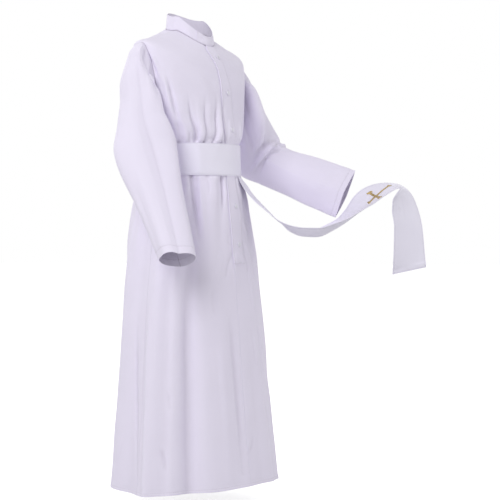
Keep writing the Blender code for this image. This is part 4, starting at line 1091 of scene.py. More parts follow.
@dataclass(frozen=True)
class Sleeve:
    """A wide straight sleeve from its armhole to its hemmed cuff."""

    grid: BodyGrid
    side: Side
    cuts: tuple[Cut, ...]
    creases: tuple[Crease, ...]
    slack: Slack
    cloth: float = 0.0012
    head_share: float = 0.30
    head_run_in: float = 0.014
    length: float = 0.600
    row_step: float = 0.0045
    hem: float = 0.022
    hem_lift: float = 0.0006
    hem_edge: float = 0.004
    slack_round: float = 0.45
    seam_calm: float = 0.5
    way_step: float = 0.02
    cuff_rows: int = 8
    cuff_slant: float = 0.011
    slant_from: float = 0.72
    slant_over: float = 0.28

    def edges(self, along: Array) -> tuple[Array, Array, Array, Array]:
        """Crease edge, under edge, half thickness and squareness at a share of the length."""
        read = eased_rows([c.along for c in self.cuts], [c[1:] for c in self.cuts], along)
        to_world = np.array([self.side.value, -1.0, -1.0])
        return read[..., 0:3] * to_world, read[..., 3:6] * to_world, read[..., 6], read[..., 7]

    def plain(self, turn: Array, along: Array) -> Array:
        """The sleeve without its armhole: a rounded section between its two edges."""
        crease, under, across, square = self.edges(along)
        ahead = self.edges(np.minimum(along + self.way_step, 1.0))
        behind = self.edges(np.maximum(along - self.way_step, 0.0))
        way = (ahead[0] + ahead[1]) - (behind[0] + behind[1])
        centre, half = (crease + under) / 2, (crease - under) / 2
        front = -self.side.value * unit(np.cross(half, way))
        power = (2.0 / square)[..., None]
        cosine, sine = np.cos(2 * np.pi * turn)[..., None], np.sin(2 * np.pi * turn)[..., None]
        depth = front * across[..., None] * signed_power(sine, power)
        return centre + half * signed_power(cosine, power) + depth

    def point(self, turn: Array, along: Array, edge: Array) -> Array:
        """The sleeve's surface: its sections, eased over its head into the armhole's edge."""
        to_edge = edge - self.plain(turn, np.zeros_like(along))
        hold = 1 - smooth(along / self.head_share)
        return self.plain(turn, along) + to_edge * hold[..., None]

    def outward(self, base: Array) -> Array:
        """The sleeve's outward normals: the step down its grid crossed with the step round it."""
        around = np.roll(base, -1, axis=1) - np.roll(base, 1, axis=1)
        return self.side.value * unit(np.cross(np.gradient(base, axis=0), around))

    def make(self) -> ClothWall:
        """The sleeve, whose first ring meets the armhole point for point."""
        form, sides = self.grid.form, 2 * self.grid.armhole_steps
        turns = np.arange(sides) / sides
        shares = marks(self.length, self.row_step, self.length - self.hem) / self.length
        turn, along = np.meshgrid(turns, shares)
        edge = form.faces(form.armhole_angle(turns, self.side), form.armhole_level(turns), 0.0)[0]
        edge[:, 0] += self.side.value * SEAM_GAP
        base = self.point(turn, along, edge)
        way = unit(base[-1].mean(axis=0) - base[-self.cuff_rows].mean(axis=0))
        low = smooth((along - self.slant_from) / self.slant_over)
        base = base + way * (self.cuff_slant * np.sin(2 * np.pi * turn) * low)[..., None]
        out = self.outward(base)
        down = along * self.length
        scale = run_along(np.concatenate([base, base[:, :1]], axis=1), 1)[:, -1:]
        to_cuff = self.length - down
        height = PRESS.depth(turn, down, scale, self.creases, 1.0)
        height += self.slack.at(turn * self.slack_round, down) * np.sin(np.pi * turn) ** self.seam_calm
        height = height * smooth(down / self.head_run_in)
        height = height + self.hem_lift * (1 - smooth((to_cuff - self.hem) / self.hem_edge))
        outer = base + out * height[..., None]
        inner = base + out * (height - self.cloth)[..., None]
        to_middle = outer[0].mean(axis=0) - outer[0]
        to_middle[:, 0] = 0.0
        inner[0] = outer[0] + unit(to_middle) * self.cloth
        seam = np.minimum(np.abs(turn - 0.5) * scale, down)
        name = f"sleeve_{self.side.name.lower()}_cloth"
        return ClothWall(name, outer, inner, np.abs(to_cuff - self.hem), seam, closed_round=True)


@dataclass(frozen=True)
class Belt:
    """The band round the waist, whose end laps over its start behind the wearer's left side."""

    form: BodyForm
    cloth: float = 0.0016
    relief: float = 1.6
    relief_spread: float = 17.0
    placket_cloth: float = 0.0010
    lap_start: float = 104.0
    lap_angle: float = 20.0
    step_out: float = 12.0
    step_lead: float = 16.0
    columns: int = 210
    rows: int = 20
    width: float = 0.094
    stitch_in: float = 0.003
    metres_per_degree: float = 0.00245
    edge_run_in: float = 0.008
    edge_share: float = 0.35
    deepest: float = 0.2 * MM
    creases: tuple[Crease, ...] = table(
        Crease,
        (-43, 0, -42.5, 0.047, -43, 0.094, 2.6, 12, 1, 1, 0, 0.8),
        (-20, 0.002, -22, 0.03, -26, 0.06, 0.8, 9, 0.6), (-70, 0.03, -60, 0.04, -50, 0.034, 0.6, 9),
        (-18, 0.058, -6, 0.068, 8, 0.074, -1.3, 5), (-8, 0.044, 4, 0.054, 16, 0.062, 1.1, 6),
        (-36, 0.075, -24, 0.079, -10, 0.084, 1, 4), (24, 0.01, 30, 0.045, 34, 0.085, -0.9, 11, 0.5, 0.5),
        (60, 0.02, 72, 0.032, 86, 0.028, 0.8, 9), (118, 0.05, 132, 0.058, 148, 0.052, -0.9, 9),
        (150, 0.004, 153, 0.045, 152, 0.09, 1, 12, 0.6, 0.6),
        (-160, 0.03, -146, 0.042, -130, 0.036, 0.9, 10),
        (-112, 0.004, -110, 0.045, -113, 0.09, -1, 12, 0.6, 0.6),
        (-100, 0.06, -88, 0.066, -76, 0.06, -0.7, 8),
    )

    def lift(self, angle: Array) -> Array:
        """How far the belt's inner face is from the cloth: more where it crosses the placket."""
        over = self.relief * (SEAM_GAP + self.placket_cloth)
        return SEAM_GAP + bell(turned(angle - self.form.opening_bearing), self.relief_spread) * over

    def face(self, angle: Array, share: Array, lift: Array) -> Array:
        """The body's plain surface moved out by a lift, a share of the way down the belt."""
        level = BELT_TOP + share
        return self.form.point(angle, level) + self.form.normal(angle, level) * lift[..., None]

    def make(self) -> ClothWall:
        """The band, with stitching near its edges and its free end."""
        angles = np.linspace(self.lap_start, self.lap_start + 360.0 + self.lap_angle, self.columns + 1)
        stops = marks(self.width, self.width / self.rows, self.stitch_in, self.width - self.stitch_in)
        angle, share = np.meshgrid(angles, stops / self.width)
        past_start = angle - (self.lap_start + 360.0 - self.step_lead)
        lap = smooth(past_start / self.step_out) * (self.cloth + SEAM_GAP)
        down = share * self.width
        dent = PRESS.depth(angle, down, self.metres_per_degree, self.creases)
        tight = smooth(down / self.edge_run_in) * smooth((self.width - down) / self.edge_run_in)
        eased = self.edge_share + (1 - self.edge_share) * tight
        low = self.lift(angle) + lap + np.maximum(dent, -self.deepest) * eased
        outer, inner = self.face(angle, share, low + self.cloth), self.face(angle, share, low)
        run = run_along(outer, 1)
        to_end = np.abs(run[:, -1:] - run - self.stitch_in)
        stitch = np.minimum(edge_lines(down, self.width, self.stitch_in), to_end)
        return ClothWall("belt_band", outer, inner, stitch)


class Strip(NamedTuple):
    """A section of the belt's tail.

    reach is level, along the bearing in which the tail is drawn out, drop is down from the origin, near
    and far are its two edges, cup is how deep the strip sags between them, and ahead is how far it
    stands towards the wearer's right front.
    """

    reach_near: float
    drop_near: float
    reach_far: float
    drop_far: float
    cup: float
    ahead: float


STRIPS = table(
    Strip,
    (0.1365, 0.4315, 0.1365, 0.4315, -0.0095, 0), (0.15, 0.466, 0.156, 0.454, -0.005, 0),
    (0.174, 0.497, 0.18, 0.485, -0.001, 0.002), (0.214, 0.532, 0.218, 0.525, 0.001, 0.004),
    (0.258, 0.564, 0.259, 0.564, 0.003, 0.007), (0.293, 0.577, 0.289, 0.582, 0.014, 0.01),
    (0.329, 0.582, 0.322, 0.587, 0.022, 0.012), (0.37, 0.582, 0.359, 0.586, 0.024, 0.014),
    (0.413, 0.5705, 0.396, 0.572, 0.02, 0.015), (0.455, 0.555, 0.428, 0.554, 0.015, 0.015),
    (0.497, 0.531, 0.455, 0.524, 0.012, 0.015), (0.531, 0.512, 0.479, 0.487, 0.012, 0.015),
    (0.562, 0.49, 0.51, 0.461, 0.012, 0.015), (0.585, 0.475, 0.543, 0.449, 0.007, 0.015),
    (0.602, 0.466, 0.577, 0.445, 0, 0.015), (0.61, 0.466, 0.608, 0.448, -0.004, 0.015),
    (0.6, 0.479, 0.633, 0.459, -0.007, 0.015), (0.589, 0.501, 0.653, 0.481, -0.008, 0.015),
    (0.588, 0.53, 0.668, 0.515, -0.007, 0.015), (0.5945, 0.58, 0.682, 0.568, -0.004, 0.015),
    (0.594, 0.65, 0.689, 0.635, -0.002, 0.015), (0.592, 0.721, 0.6935, 0.699, 0, 0.015),
)


@dataclass(frozen=True)
class BeltTail:
    """The belt's long tail, which swings out to the wearer's left, bends over and hangs down."""

    form: BodyForm
    belt: Belt
    width: float = 0.102
    bearing: float = 52.0
    hang: float = 0.0022
    clear: float = 0.0012
    half_span: float = 21.0
    start: float = 1.3
    cross_place: float = 12.35
    stitch_in: float = 0.0035
    column_step: float = 0.0042
    row_step: float = 0.0048
    run_in: float = 0.02
    middle_step: float = 0.5
    place_step: float = 0.1
    across_step: float = 0.02
    fine_places: int = 1261
    slack: Slack = Slack(31, 0.0005, 0.09)
    open_period: float = 9.0
    creases: tuple[Crease, ...] = table(
        Crease,
        (0.2, 0.004, 0.28, 0.06, 0.3, 0.13, -1.6, 9, 1), (0.62, 0.004, 0.58, 0.05, 0.6, 0.11, 1.4, 8, 1),
        (0.85, 0.004, 0.82, 0.06, 0.84, 0.14, -1.2, 8, 1), (0.1, 0.5, 0.32, 0.53, 0.5, 0.58, 0.8, 11),
        (0.86, 0.47, 0.7, 0.52, 0.6, 0.57, -0.8, 12),
        (0.05, 0.6, 0.2, 0.64, 0.26, 0.72, 1.6, 9, 0.2, 0, 0.2),
        (0.3, 0.61, 0.38, 0.66, 0.4, 0.74, -1.2, 10), (0.8, 0.64, 0.74, 0.7, 0.72, 0.78, 0.9, 12),
        (0.4, 0.76, 0.46, 0.81, 0.5, 0.86, 0.7, 15), (0.5, 0.25, 0.48, 0.33, 0.52, 0.42, -0.8, 18),
    )

    def strip_at(self, place: Array) -> Strip:
        """The strip's section at any place between its table's rows."""
        return Strip(*np.moveaxis(eased_rows(range(len(STRIPS)), STRIPS, place), -1, 0))

    def in_plane(self, reach: Array, drop: Array, ahead: Array) -> Array:
        """A point reach out along the tail's bearing, drop down, and ahead across to the near side."""
        bearing = math.radians(self.bearing)
        out = np.array([math.cos(bearing), -math.sin(bearing), 0.0])
        near = np.array([-math.sin(bearing), -math.cos(bearing), 0.0])
        return reach[..., None] * out - drop[..., None] * UP + ahead[..., None] * near

    def run_way(self, place: Array) -> Array:
        """The direction in which the strip's middle runs, in its upright plane."""
        after = self.strip_at(np.minimum(place + self.middle_step, len(STRIPS) - 1))
        before = self.strip_at(np.maximum(place - self.middle_step, 0))
        reach = after.reach_near + after.reach_far - before.reach_near - before.reach_far
        drop = after.drop_near + after.drop_far - before.drop_near - before.drop_far
        return unit(self.in_plane(reach, drop, np.zeros_like(reach)))

    def strip_point(self, across: Array, place: Array) -> Array:
        """The strip as its table gives it: a chord between its edges, bowed by a parabola."""
        cut = self.strip_at(place)
        gap_2 = (cut.reach_near - cut.reach_far) ** 2 + (cut.drop_near - cut.drop_far) ** 2
        chord = self.width / (1 + 8 / 3 * (cut.cup / self.width) ** 2)
        depth = np.sqrt(np.maximum(chord**2 - gap_2, 0.0))
        near = self.in_plane(cut.reach_near, cut.drop_near, cut.ahead + depth / 2)
        far = self.in_plane(cut.reach_far, cut.drop_far, cut.ahead - depth / 2)
        down = unit(np.cross(unit(far - near), self.run_way(place)))
        bow = (4 * cut.cup * across * (1 - across))[..., None]
        return near + (far - near) * across[..., None] + down * bow

    def point(self, across: Array | float, place: Array) -> Array:
        """The tail's lower face, from just below the belt's edge into its own shape."""
        across, place = paired(across, place)
        angle = 90.0 - self.bearing + self.half_span * (2 * across - 1)
        edge = self.belt.face(angle, np.ones(angle.shape), self.belt.lift(angle) + self.clear)
        edge[..., 2] -= self.hang
        to_edge = edge - self.strip_point(across, np.zeros_like(place))
        hold = 1 - smooth(place / self.start)
        return self.strip_point(across, place) + to_edge * hold[..., None]

    def normal(self, across: Array, place: Array) -> Array:
        """Out of the lit face: the step along the tail crossed with the step to its far edge."""
        step, aside = self.place_step, self.across_step
        ahead, behind = np.minimum(place + step, len(STRIPS) - 1), np.maximum(place - step, 0)
        run = self.point(across, ahead) - self.point(across, behind)
        chord = self.point(across + aside, place) - self.point(across - aside, place)
        return unit(np.cross(run, chord))

    def distances(self) -> tuple[Array, Array]:
        """Places along the tail and the metres from its start to each, along its middle."""
        places = np.linspace(0, len(STRIPS) - 1, self.fine_places)
        return places, run_along(self.point(0.5, places), 0)

    def faces(self, across: Array, run: Array, *lifts: Array | float) -> list[Array]:
        """The creased tail, moved out of its lower face by each lift."""
        places, metres = self.distances()
        place = np.interp(run, metres, places)
        wave = self.slack.at(across * self.width, run)
        dent = PRESS.depth(across, run, self.width, self.creases, self.open_period)
        height = (dent + wave) * smooth(run / self.run_in)
        base, out = self.point(across, place), self.normal(across, place)
        return [base + out * (height + lift)[..., None] for lift in lifts]

    def cross_run(self) -> float:
        """Metres along the tail to the middle of the cross."""
        places, metres = self.distances()
        return float(np.interp(self.cross_place, places, metres))

    def make(self) -> ClothWall:
        """The tail, with stitching near both edges and its free end."""
        length = float(self.distances()[1][-1])
        side = marks(self.width, self.column_step, self.stitch_in, self.width - self.stitch_in)
        stops = marks(length, self.row_step, length - self.stitch_in)
        across, run = np.meshgrid(side / self.width, stops)
        outer, inner = self.faces(across, run, self.belt.cloth, 0.0)
        lines = edge_lines(side, self.width, self.stitch_in)
        stitch = np.minimum(lines, np.abs(length - run - self.stitch_in))
        return ClothWall("belt_tail_band", outer, inner, stitch)


class Bar(NamedTuple):
    """A satin-stitched bar of the cross, in millimetres from its crossing.

    across runs to the tail's near edge and along to its free end.
    """

    across_0: float
    along_0: float
    across_1: float
    along_1: float
    half_width: float
    height: float


@dataclass(frozen=True)
class CrossEmbroidery:
    """The gold cross: satin-stitched bars that stand a little proud of the tail."""

    tail: BeltTail
    base: float = 0.0003
    rows_per_mm: float = 1.2
    profile: int = 9
    fullness: float = 0.7
    end_height: float = 0.35
    end_run: float = 0.9
    bars: tuple[Bar, ...] = table(
        Bar,
        (17, -46, -4, 43, 3.9, 1.6), (-28, -12, 40, -16, 3.9, 1.7), (8, -42, 24, -46, 3.3, 1.4),
        (-11, 39, 5, 43, 3.3, 1.4), (-26, -20, -25, -4, 3.6, 1.4), (37, -23, 38, -9, 3.6, 1.4),
    )

    def bar_shell(self, bar: Bar) -> Shell:
        """One bar: a half-round profile carried along a straight line on the tail's face.

        Args:
            bar: its line and sizes.

        Returns:
            Its points, its quads and the metres along it at each point.
        """
        start = np.array(bar[0:2]) * MM
        way = np.array(bar[2:4]) * MM - start
        length = float(np.hypot(*way))
        steps = max(6, int(length / MM * self.rows_per_mm))
        way = way / length
        side = np.array([-way[1], way[0]])
        shares, turns = np.linspace(0, 1, steps + 1), np.linspace(0, np.pi, self.profile)
        t, a = np.meshgrid(shares, turns, indexing="ij")
        close = np.sqrt(np.clip(np.minimum(t, 1 - t) * length / (self.end_run * MM), 0.0, 1.0))
        flat = start + way * (t * length)[..., None] + side * (np.cos(a) * bar.half_width * MM)[..., None]
        full = self.end_height + (1 - self.end_height) * close
        rise = np.sin(a) ** self.fullness * bar.height * MM * full
        lift = self.tail.belt.cloth + self.base
        across, run = 0.5 - flat[..., 0] / self.tail.width, self.tail.cross_run() + flat[..., 1]
        faces = self.tail.faces(across, run, lift + rise, lift)
        points = np.concatenate([face.reshape(-1, 3) for face in faces])
        return points, wall_faces(*t.shape, False)[0], np.tile((t * length).ravel(), 2)

    def mesh(self) -> Mesh:
        """All the bars in one mesh, each a closed shell."""
        return join_parts("cross_embroidery", [self.bar_shell(bar) for bar in self.bars], merge=False)


@dataclass(frozen=True)
class Button:
    """A small round four-hole button with its thread."""

    placket: Placket
    radius: float = 0.0063
    thickness: float = 0.0026
    rim: float = 0.0005
    flat_share: float = 0.93
    round_share: float = 0.07
    rim_from: float = 0.62
    rim_over: float = 0.22
    edge_rings: int = 6
    base_rings: int = 5
    hole_ring: float = 0.0016
    hole_radius: float = 0.00062
    hole_depth: float = 0.0013
    hole_flat: float = 0.35
    rings: int = 26
    spokes: int = 56
    gap: float = 0.0003
    thread_radius: float = 0.00032
    thread_rise: float = 0.0005
    thread_sunk: float = 0.0004
    thread_above: float = 0.00015
    thread_base: float = 0.0001

    def mesh(self, number: int, level: float) -> Mesh:
        """A button: a spun half section, whose top has four holes pressed into it."""
        flat, edge = self.flat_share, np.linspace(0, np.pi, self.edge_rings + 2)[1:-1]
        top_radius = np.linspace(0, 1, self.rings) * flat
        edge_radius = flat + self.round_share * np.sin(edge)
        radius = np.concatenate([top_radius, edge_radius, np.linspace(flat, 0.0, self.base_rings)])
        top = self.thickness - self.rim * (1 - smooth((top_radius - self.rim_from) / self.rim_over))
        side = self.thickness / 2 * (1 + np.cos(edge))
        height = np.concatenate([top, side, np.zeros(self.base_rings)])
        spoke = np.linspace(0, 2 * np.pi, self.spokes, endpoint=False)
        r, a = np.meshgrid(radius * self.radius, spoke, indexing="ij")
        x, y = r * np.cos(a), r * np.sin(a)
        z = np.broadcast_to(height[:, None], r.shape).copy()
        for k in range(4):
            way = math.radians(45 + 90 * k)
            gap = np.hypot(x - self.hole_ring * math.cos(way), y - self.hole_ring * math.sin(way))
            hole = 1 - smooth(gap / self.hole_radius - self.hole_flat)
            z[: self.rings] -= self.hole_depth * hole[: self.rings]
        seat, left, up, out = self.placket.seat(level, self.gap)
        points = seat + x[..., None] * left + y[..., None] * up + z[..., None] * out
        mesh = mesh_from(f"button_{number}_face", points.reshape(-1, 3), ring_quads(len(radius), self.spokes))
        merge_doubles(mesh)
        return mesh

    def thread(self, number: int, level: float) -> Mesh:
        """The crossed threads between the holes: two short arches of a round cord."""
        seat, left, up, out = self.placket.seat(level, self.gap)
        middle = seat + out * (self.thickness - self.rim + self.thread_base)
        parts = []
        for k in range(2):
            way = math.radians(45 + 90 * k)
            line = math.cos(way) * left + math.sin(way) * up
            t = np.linspace(-1, 1, 13)
            rise = self.thread_rise * (1 - t**4) + self.thread_above * k - self.thread_sunk
            path = middle + line * (t * self.hole_ring)[:, None] + out * rise[:, None]
            parts.append(tube(path, self.thread_radius, 8))
        return join_parts(f"button_{number}_thread", parts)


@dataclass(frozen=True)
class Buttonhole:
    """A buttonhole's stitched rim, and the bar tack at the opening's end."""

    placket: Placket
    length: float = 0.018
    half_width: float = 0.0013
    thread: float = 0.0005
    tack_width: float = 0.010
    tack_height: float = 0.0022
    tack_up: float = 0.006
    follow: float = 0.4
    end_power: float = 0.6
    side_power: float = 0.8

    def path(self, level: Array | float, aside: Array) -> Array:
        """Points on the strip's face, so many metres to the wearer's left of the opening's line."""
        form = self.placket.form
        bearing = form.opening_bearing + form.degrees_at(level, 1.0) * aside
        return form.faces(bearing, level, self.placket.top)[0]

    def rim(self, number: int, level: float) -> Mesh:
        """A long flat loop of stitching, which follows the strip above and below its button."""
        turn = np.linspace(0, 2 * np.pi, 61)
        levels = np.linspace(level - self.follow, level + self.follow, 161)
        run = run_along(self.placket.form.opening(levels), 0)
        run -= np.interp(level, levels, run)
        down = signed_power(np.cos(turn), self.end_power) * self.length / 2
        aside = signed_power(np.sin(turn), self.side_power) * self.half_width
        path = self.path(np.interp(down, run, levels), aside)
        return join_parts(f"buttonhole_{number}", [tube(path, self.thread, 8)])

    def tack(self) -> Mesh:
        """A short bar of satin stitch across the opening's lower end."""
        level = self.placket.form.level_at_front_drop(self.placket.end_drop - self.tack_up)
        t = np.linspace(-1, 1, 21)
        path = self.path(level, t * self.tack_width / 2)
        return join_parts("bar_tack", [tube(path, self.tack_height / 2 * (1 - 0.25 * t**8), 10)])


class Graph:
    """A node tree with short ways to add and join nodes."""

    def __init__(self, tree: Tree) -> None:
        """Takes the tree to fill."""
        self.tree = tree

    def fill(self, node: Node, values: dict[str, object]) -> None:
        """Joins sockets to a node's inputs by name, or sets the inputs to plain values."""
        for name, value in values.items():
            self.put(value, node.inputs[name])

    def put(self, source: object, target: Socket) -> None:
        """Joins a socket to an input, or sets the input to a plain value."""
        if isinstance(source, Socket):
            self.tree.links.new(source, target)
        else:
            target.default_value = source

    def add(self, kind: str, values: dict[str, object] | None = None, **settings: object) -> Node:
        """Adds a node, sets its own settings and fills its inputs."""
        node = self.tree.nodes.new(kind)
        for name, value in settings.items():
            setattr(node, name, value)
        self.fill(node, values or {})
        return node

    def math(self, operation: str, *values: object) -> Socket:
        """A Math node of up to three values."""
        node = self.add("ShaderNodeMath", operation=operation)
        for value, target in zip(values, node.inputs):
            self.put(value, target)
        return node.outputs[0]

    def times(self, *values: object) -> Socket:
        """The values multiplied together, one after the other."""
        total = values[0]
        for value in values[1:]:
            total = self.math("MULTIPLY", total, value)
        return total

    def bell(self, distance: object, spread: float) -> Socket:
        """A bell curve of height 1: e to the minus of the squared share of the spread."""
        share = self.math("DIVIDE", distance, spread)
        return self.math("EXPONENT", self.times(share, share, -1.0))

    def attribute(self, name: str) -> Socket:
        """A number stored on the mesh."""
        return self.add("ShaderNodeAttribute", attribute_name=name).outputs["Fac"]

    def noise(self, scale: float, detail: float, roughness: float = 0.5) -> Socket:
        """Noise over the piece's own coordinates."""
        place = self.add("ShaderNodeTexCoord").outputs["Object"]
        values = {"Vector": place, "Scale": scale, "Detail": detail, "Roughness": roughness}
        return self.add("ShaderNodeTexNoise", values, noise_dimensions="3D").outputs["Fac"]

    def mix(self, factor: Socket, first: object, second: Colour) -> Socket:
        """A colour between two, by a factor."""
        first = (*first, 1.0) if isinstance(first, tuple) else first
        values = {"Factor": factor, "A": first, "B": (*second, 1.0)}
        return self.add("ShaderNodeMix", values, data_type="RGBA").outputs["Result"]

    def bump(self, height: Socket) -> Socket:
        """The normal of a height in millimetres."""
        return self.add("ShaderNodeBump", {"Distance": MM, "Height": height}).outputs["Normal"]

    def seen(self) -> Socket:
        """1 where the camera looks straight at it."""
        return self.add("ShaderNodeLightPath").outputs["Is Camera Ray"]


def new_group(name: str, inputs: dict[str, float], outputs: Sequence[str]) -> tuple:
    """An empty node group, whose inputs and outputs are plain numbers.

    Args:
        name: the group's name.
        inputs: its inputs, with their usual values.
        outputs: its outputs.

    Returns:
        Its graph, its input node's sockets and its output node.
    """
    tree = bpy.data.node_groups.new(name, "ShaderNodeTree")
    for title, value in inputs.items():
        tree.interface.new_socket(title, in_out="INPUT", socket_type="NodeSocketFloat").default_value = value
    for title in outputs:
        tree.interface.new_socket(title, in_out="OUTPUT", socket_type="NodeSocketFloat")
    graph = Graph(tree)
    return graph, graph.add("NodeGroupInput").outputs, graph.add("NodeGroupOutput")


def new_material(name: str) -> tuple[Material, Graph, Node]:
    """A material, its graph and its shader."""
    made = bpy.data.materials.new(name)
    made.use_nodes = True
    return made, Graph(made.node_tree), made.node_tree.nodes["Principled BSDF"]


@dataclass
class ClothEffects:
    """The effects that the cloth finishes share, each a node group built once. Heights are in millimetres,
    and the seam group also gives how strongly painted shade darkens seams and hollows.
    """

    threads: float = 1900.0
    weave_depth: float = 0.05
    stitch_pitch: float = 0.0032
    stitch_width: float = 0.0006
    dash: float = 0.78
    thread_height: float = 0.22
    dip_width: float = 0.0022
    dip_depth: float = 0.45
    roll_width: float = 0.0018
    roll_depth: float = 0.8
    # Painted shade: how far the colour darkens along a seam, and in hollows as deep as the full depth.
    painted_seam_shade: float = 0.5
    hollow_depth: float = 0.0034
    painted_hollow_shade: float = 0.36
    pucker_reach: float = 0.012
    pucker_height: float = 1.4
    pucker_scale: float = 70.0
    rumple_height: float = 1.2
    rumple_scale: float = 16.0
    tone_scale: float = 5.0

    def __post_init__(self) -> None:
        """Builds the groups."""
        self.weave, self.stitching = self.weave_group(), self.stitching_group()
        self.seam, self.slub = self.seam_group(), self.slub_group()

    def weave_group(self) -> Tree:
        """Plain weave: the sine of the warp's place times the sine of the weft's."""
        inputs = {"Threads": self.threads, "Depth": self.weave_depth}
        graph, given, out = new_group("plain_weave", inputs, ["Height"])
        threads = graph.add("ShaderNodeUVMap", uv_map="threads").outputs[0]
        place = graph.add("ShaderNodeSeparateXYZ", {"Vector": threads}).outputs
        turn = graph.times(given["Threads"], math.pi)
        warp, weft = (graph.math("SINE", graph.times(place[axis], turn)) for axis in ("X", "Y"))
        graph.fill(out, {"Height": graph.times(warp, weft, given["Depth"])})
        return graph.tree

    def stitching_group(self) -> Tree:
        """Topstitching: dashes of thread along the line where the distance is zero, in a shallow dip."""
        inputs = {"Distance": 1.0, "Run": 0.0, "Pitch": self.stitch_pitch, "Width": self.stitch_width}
        graph, given, out = new_group("topstitching", inputs, ["Thread", "Height"])
        on_line = graph.math("LESS_THAN", given["Distance"], given["Width"])
        step = graph.math("FRACT", graph.math("DIVIDE", given["Run"], given["Pitch"]))
        thread = graph.times(on_line, graph.math("LESS_THAN", step, self.dash))
        dip = graph.times(graph.bell(given["Distance"], self.dip_width), self.dip_depth)
        height = graph.math("SUBTRACT", graph.times(thread, self.thread_height), dip)
        graph.fill(out, {"Thread": thread, "Height": height})
        return graph.tree

    def seam_group(self) -> Tree:
        """A sewn seam, which the cloth rolls down into and puckers along, and the painted shade that darkens
        the colour along the seam and in hollows.
        """
        inputs = {"Distance": 1.0, "Sunk": 0.0, "Full Depth": self.hollow_depth}
        graph, given, out = new_group("seam_roll_and_painted_shade", inputs, ["Height", "Crevice"])
        roll = graph.bell(given["Distance"], self.roll_width)
        # Painted shade: full in hollows as deep as the full depth, and along the seam's own line.
        valley = graph.math("MAXIMUM", graph.math("DIVIDE", given["Sunk"], given["Full Depth"]), 0.0)
        valley = graph.times(graph.math("MINIMUM", valley, 1.0), self.painted_hollow_shade)
        crevice = graph.math("MAXIMUM", graph.times(roll, self.painted_seam_shade), valley)
        reach = graph.math("DIVIDE", given["Distance"], self.pucker_reach)
        wide = graph.times(graph.math("EXPONENT", graph.times(reach, -1.0)), self.pucker_height)
        pucker = graph.times(graph.math("SUBTRACT", graph.noise(self.pucker_scale, 1.0), 0.5), wide)
        height = graph.math("SUBTRACT", pucker, graph.times(roll, self.roll_depth))
        graph.fill(out, {"Height": height, "Crevice": crevice})
        return graph.tree

    def slub_group(self) -> Tree:
        """Unevenness of the cloth: soft rumples as height, and a faint change of tone."""
        graph, _, out = new_group("slub", {}, ["Height", "Tone"])
        rumple = graph.math("SUBTRACT", graph.noise(self.rumple_scale, 3.0, 0.55), 0.5)
        tone = graph.noise(self.tone_scale, 2.0)
        graph.fill(out, {"Height": graph.times(rumple, self.rumple_height), "Tone": tone})
        return graph.tree


@dataclass(frozen=True)
class ClothFinish:
    """A white woven cloth: weave, sewing, soft sheen, a faint unevenness of tone, and painted shade along its
    seams and in its hollows.
    """

    name: str
    pale: Colour
    deep: Colour
    thread: Colour
    crevice: Colour
    roughness: float
    sheen: float
    threads_per_metre: float
    weave_depth: float
    sheen_roughness: float = 0.45
    specular: float = 0.35

    def material(self, effects: ClothEffects) -> Material:
        """Builds the finish: heights in millimetres add up into one bump, tone mixes two whites, and painted
        shade darkens the colour along seams and in hollows.
        """
        made, graph, shader = new_material(self.name)
        inputs = (
            (effects.weave, {"Threads": self.threads_per_metre, "Depth": self.weave_depth}),
            (effects.stitching, {"Distance": graph.attribute("stitch"), "Run": graph.attribute("run")}),
            (effects.seam, {"Distance": graph.attribute("seam"), "Sunk": graph.attribute("sunk")}),
            (effects.slub, {}),
        )
        used = [graph.add("ShaderNodeGroup", values, node_tree=group).outputs for group, values in inputs]
        _, stitching, seam, slub = used
        height = used[0]["Height"]
        for outputs in used[1:]:
            height = graph.math("ADD", height, outputs["Height"])
        colour = graph.mix(slub["Tone"], self.deep, self.pale)
        colour = graph.mix(stitching["Thread"], colour, self.thread)
        values = {
            # Painted shade: the colour is drawn towards the dark crevice colour along seams and in hollows.
            "Base Color": graph.mix(seam["Crevice"], colour, self.crevice),
            "Normal": graph.bump(height),
            "Roughness": self.roughness,
            "Sheen Weight": self.sheen,
            "Sheen Roughness": self.sheen_roughness,
            "Specular IOR Level": self.specular,
        }
        graph.fill(shader, values)
        return made


@dataclass(frozen=True)
class ThreadFinish:
    """Laid thread: fine ribs across its run, with the sheen of silk or of metal, and painted shade in the
    grooves between its ribs.
    """

    name: str
    colour: Colour
    shade: Colour
    metallic: float
    roughness: float
    pitch: float
    rib_height: float = 0.12

    def material(self) -> Material:
        """Builds the finish: the ribs are a sine of the metres along the thread, and the colour darkens to
        the shade colour in their grooves, a painted shade.
        """
        made, graph, shader = new_material(self.name)
        turn = graph.times(graph.attribute("run"), 2 * math.pi / self.pitch)
        rib = graph.math("MULTIPLY_ADD", graph.math("SINE", turn), 0.5, 0.5)
        values = {
            # Painted shade: darker in the grooves between the ribs.
            "Base Color": graph.mix(rib, self.shade, self.colour),
            "Normal": graph.bump(graph.times(rib, self.rib_height)),
            "Metallic": self.metallic,
            "Roughness": self.roughness,
        }
        graph.fill(shader, values)
        return made


@dataclass(frozen=True)
class ButtonFinish:
    """A polished white button, a little cloudy."""

    name: str = "button_white"
    pale: Colour = (0.86, 0.84, 0.92)
    deep: Colour = (0.78, 0.76, 0.86)
    roughness: float = 0.30
    coat: float = 0.25
    cloud_scale: float = 260.0

    def material(self) -> Material:
        """Builds the finish: a fine noise clouds two whites."""
        made, graph, shader = new_material(self.name)
        colour = graph.mix(graph.noise(self.cloud_scale, 2.0), self.deep, self.pale)
        graph.fill(shader, {"Base Color": colour, "Roughness": self.roughness, "Coat Weight": self.coat})
        return made


class Lamp(NamedTuple):
    """A soft square light: degrees to the camera's right of the garment, degrees up, and power."""

    name: str
    aside: float
    up: float
    power: float


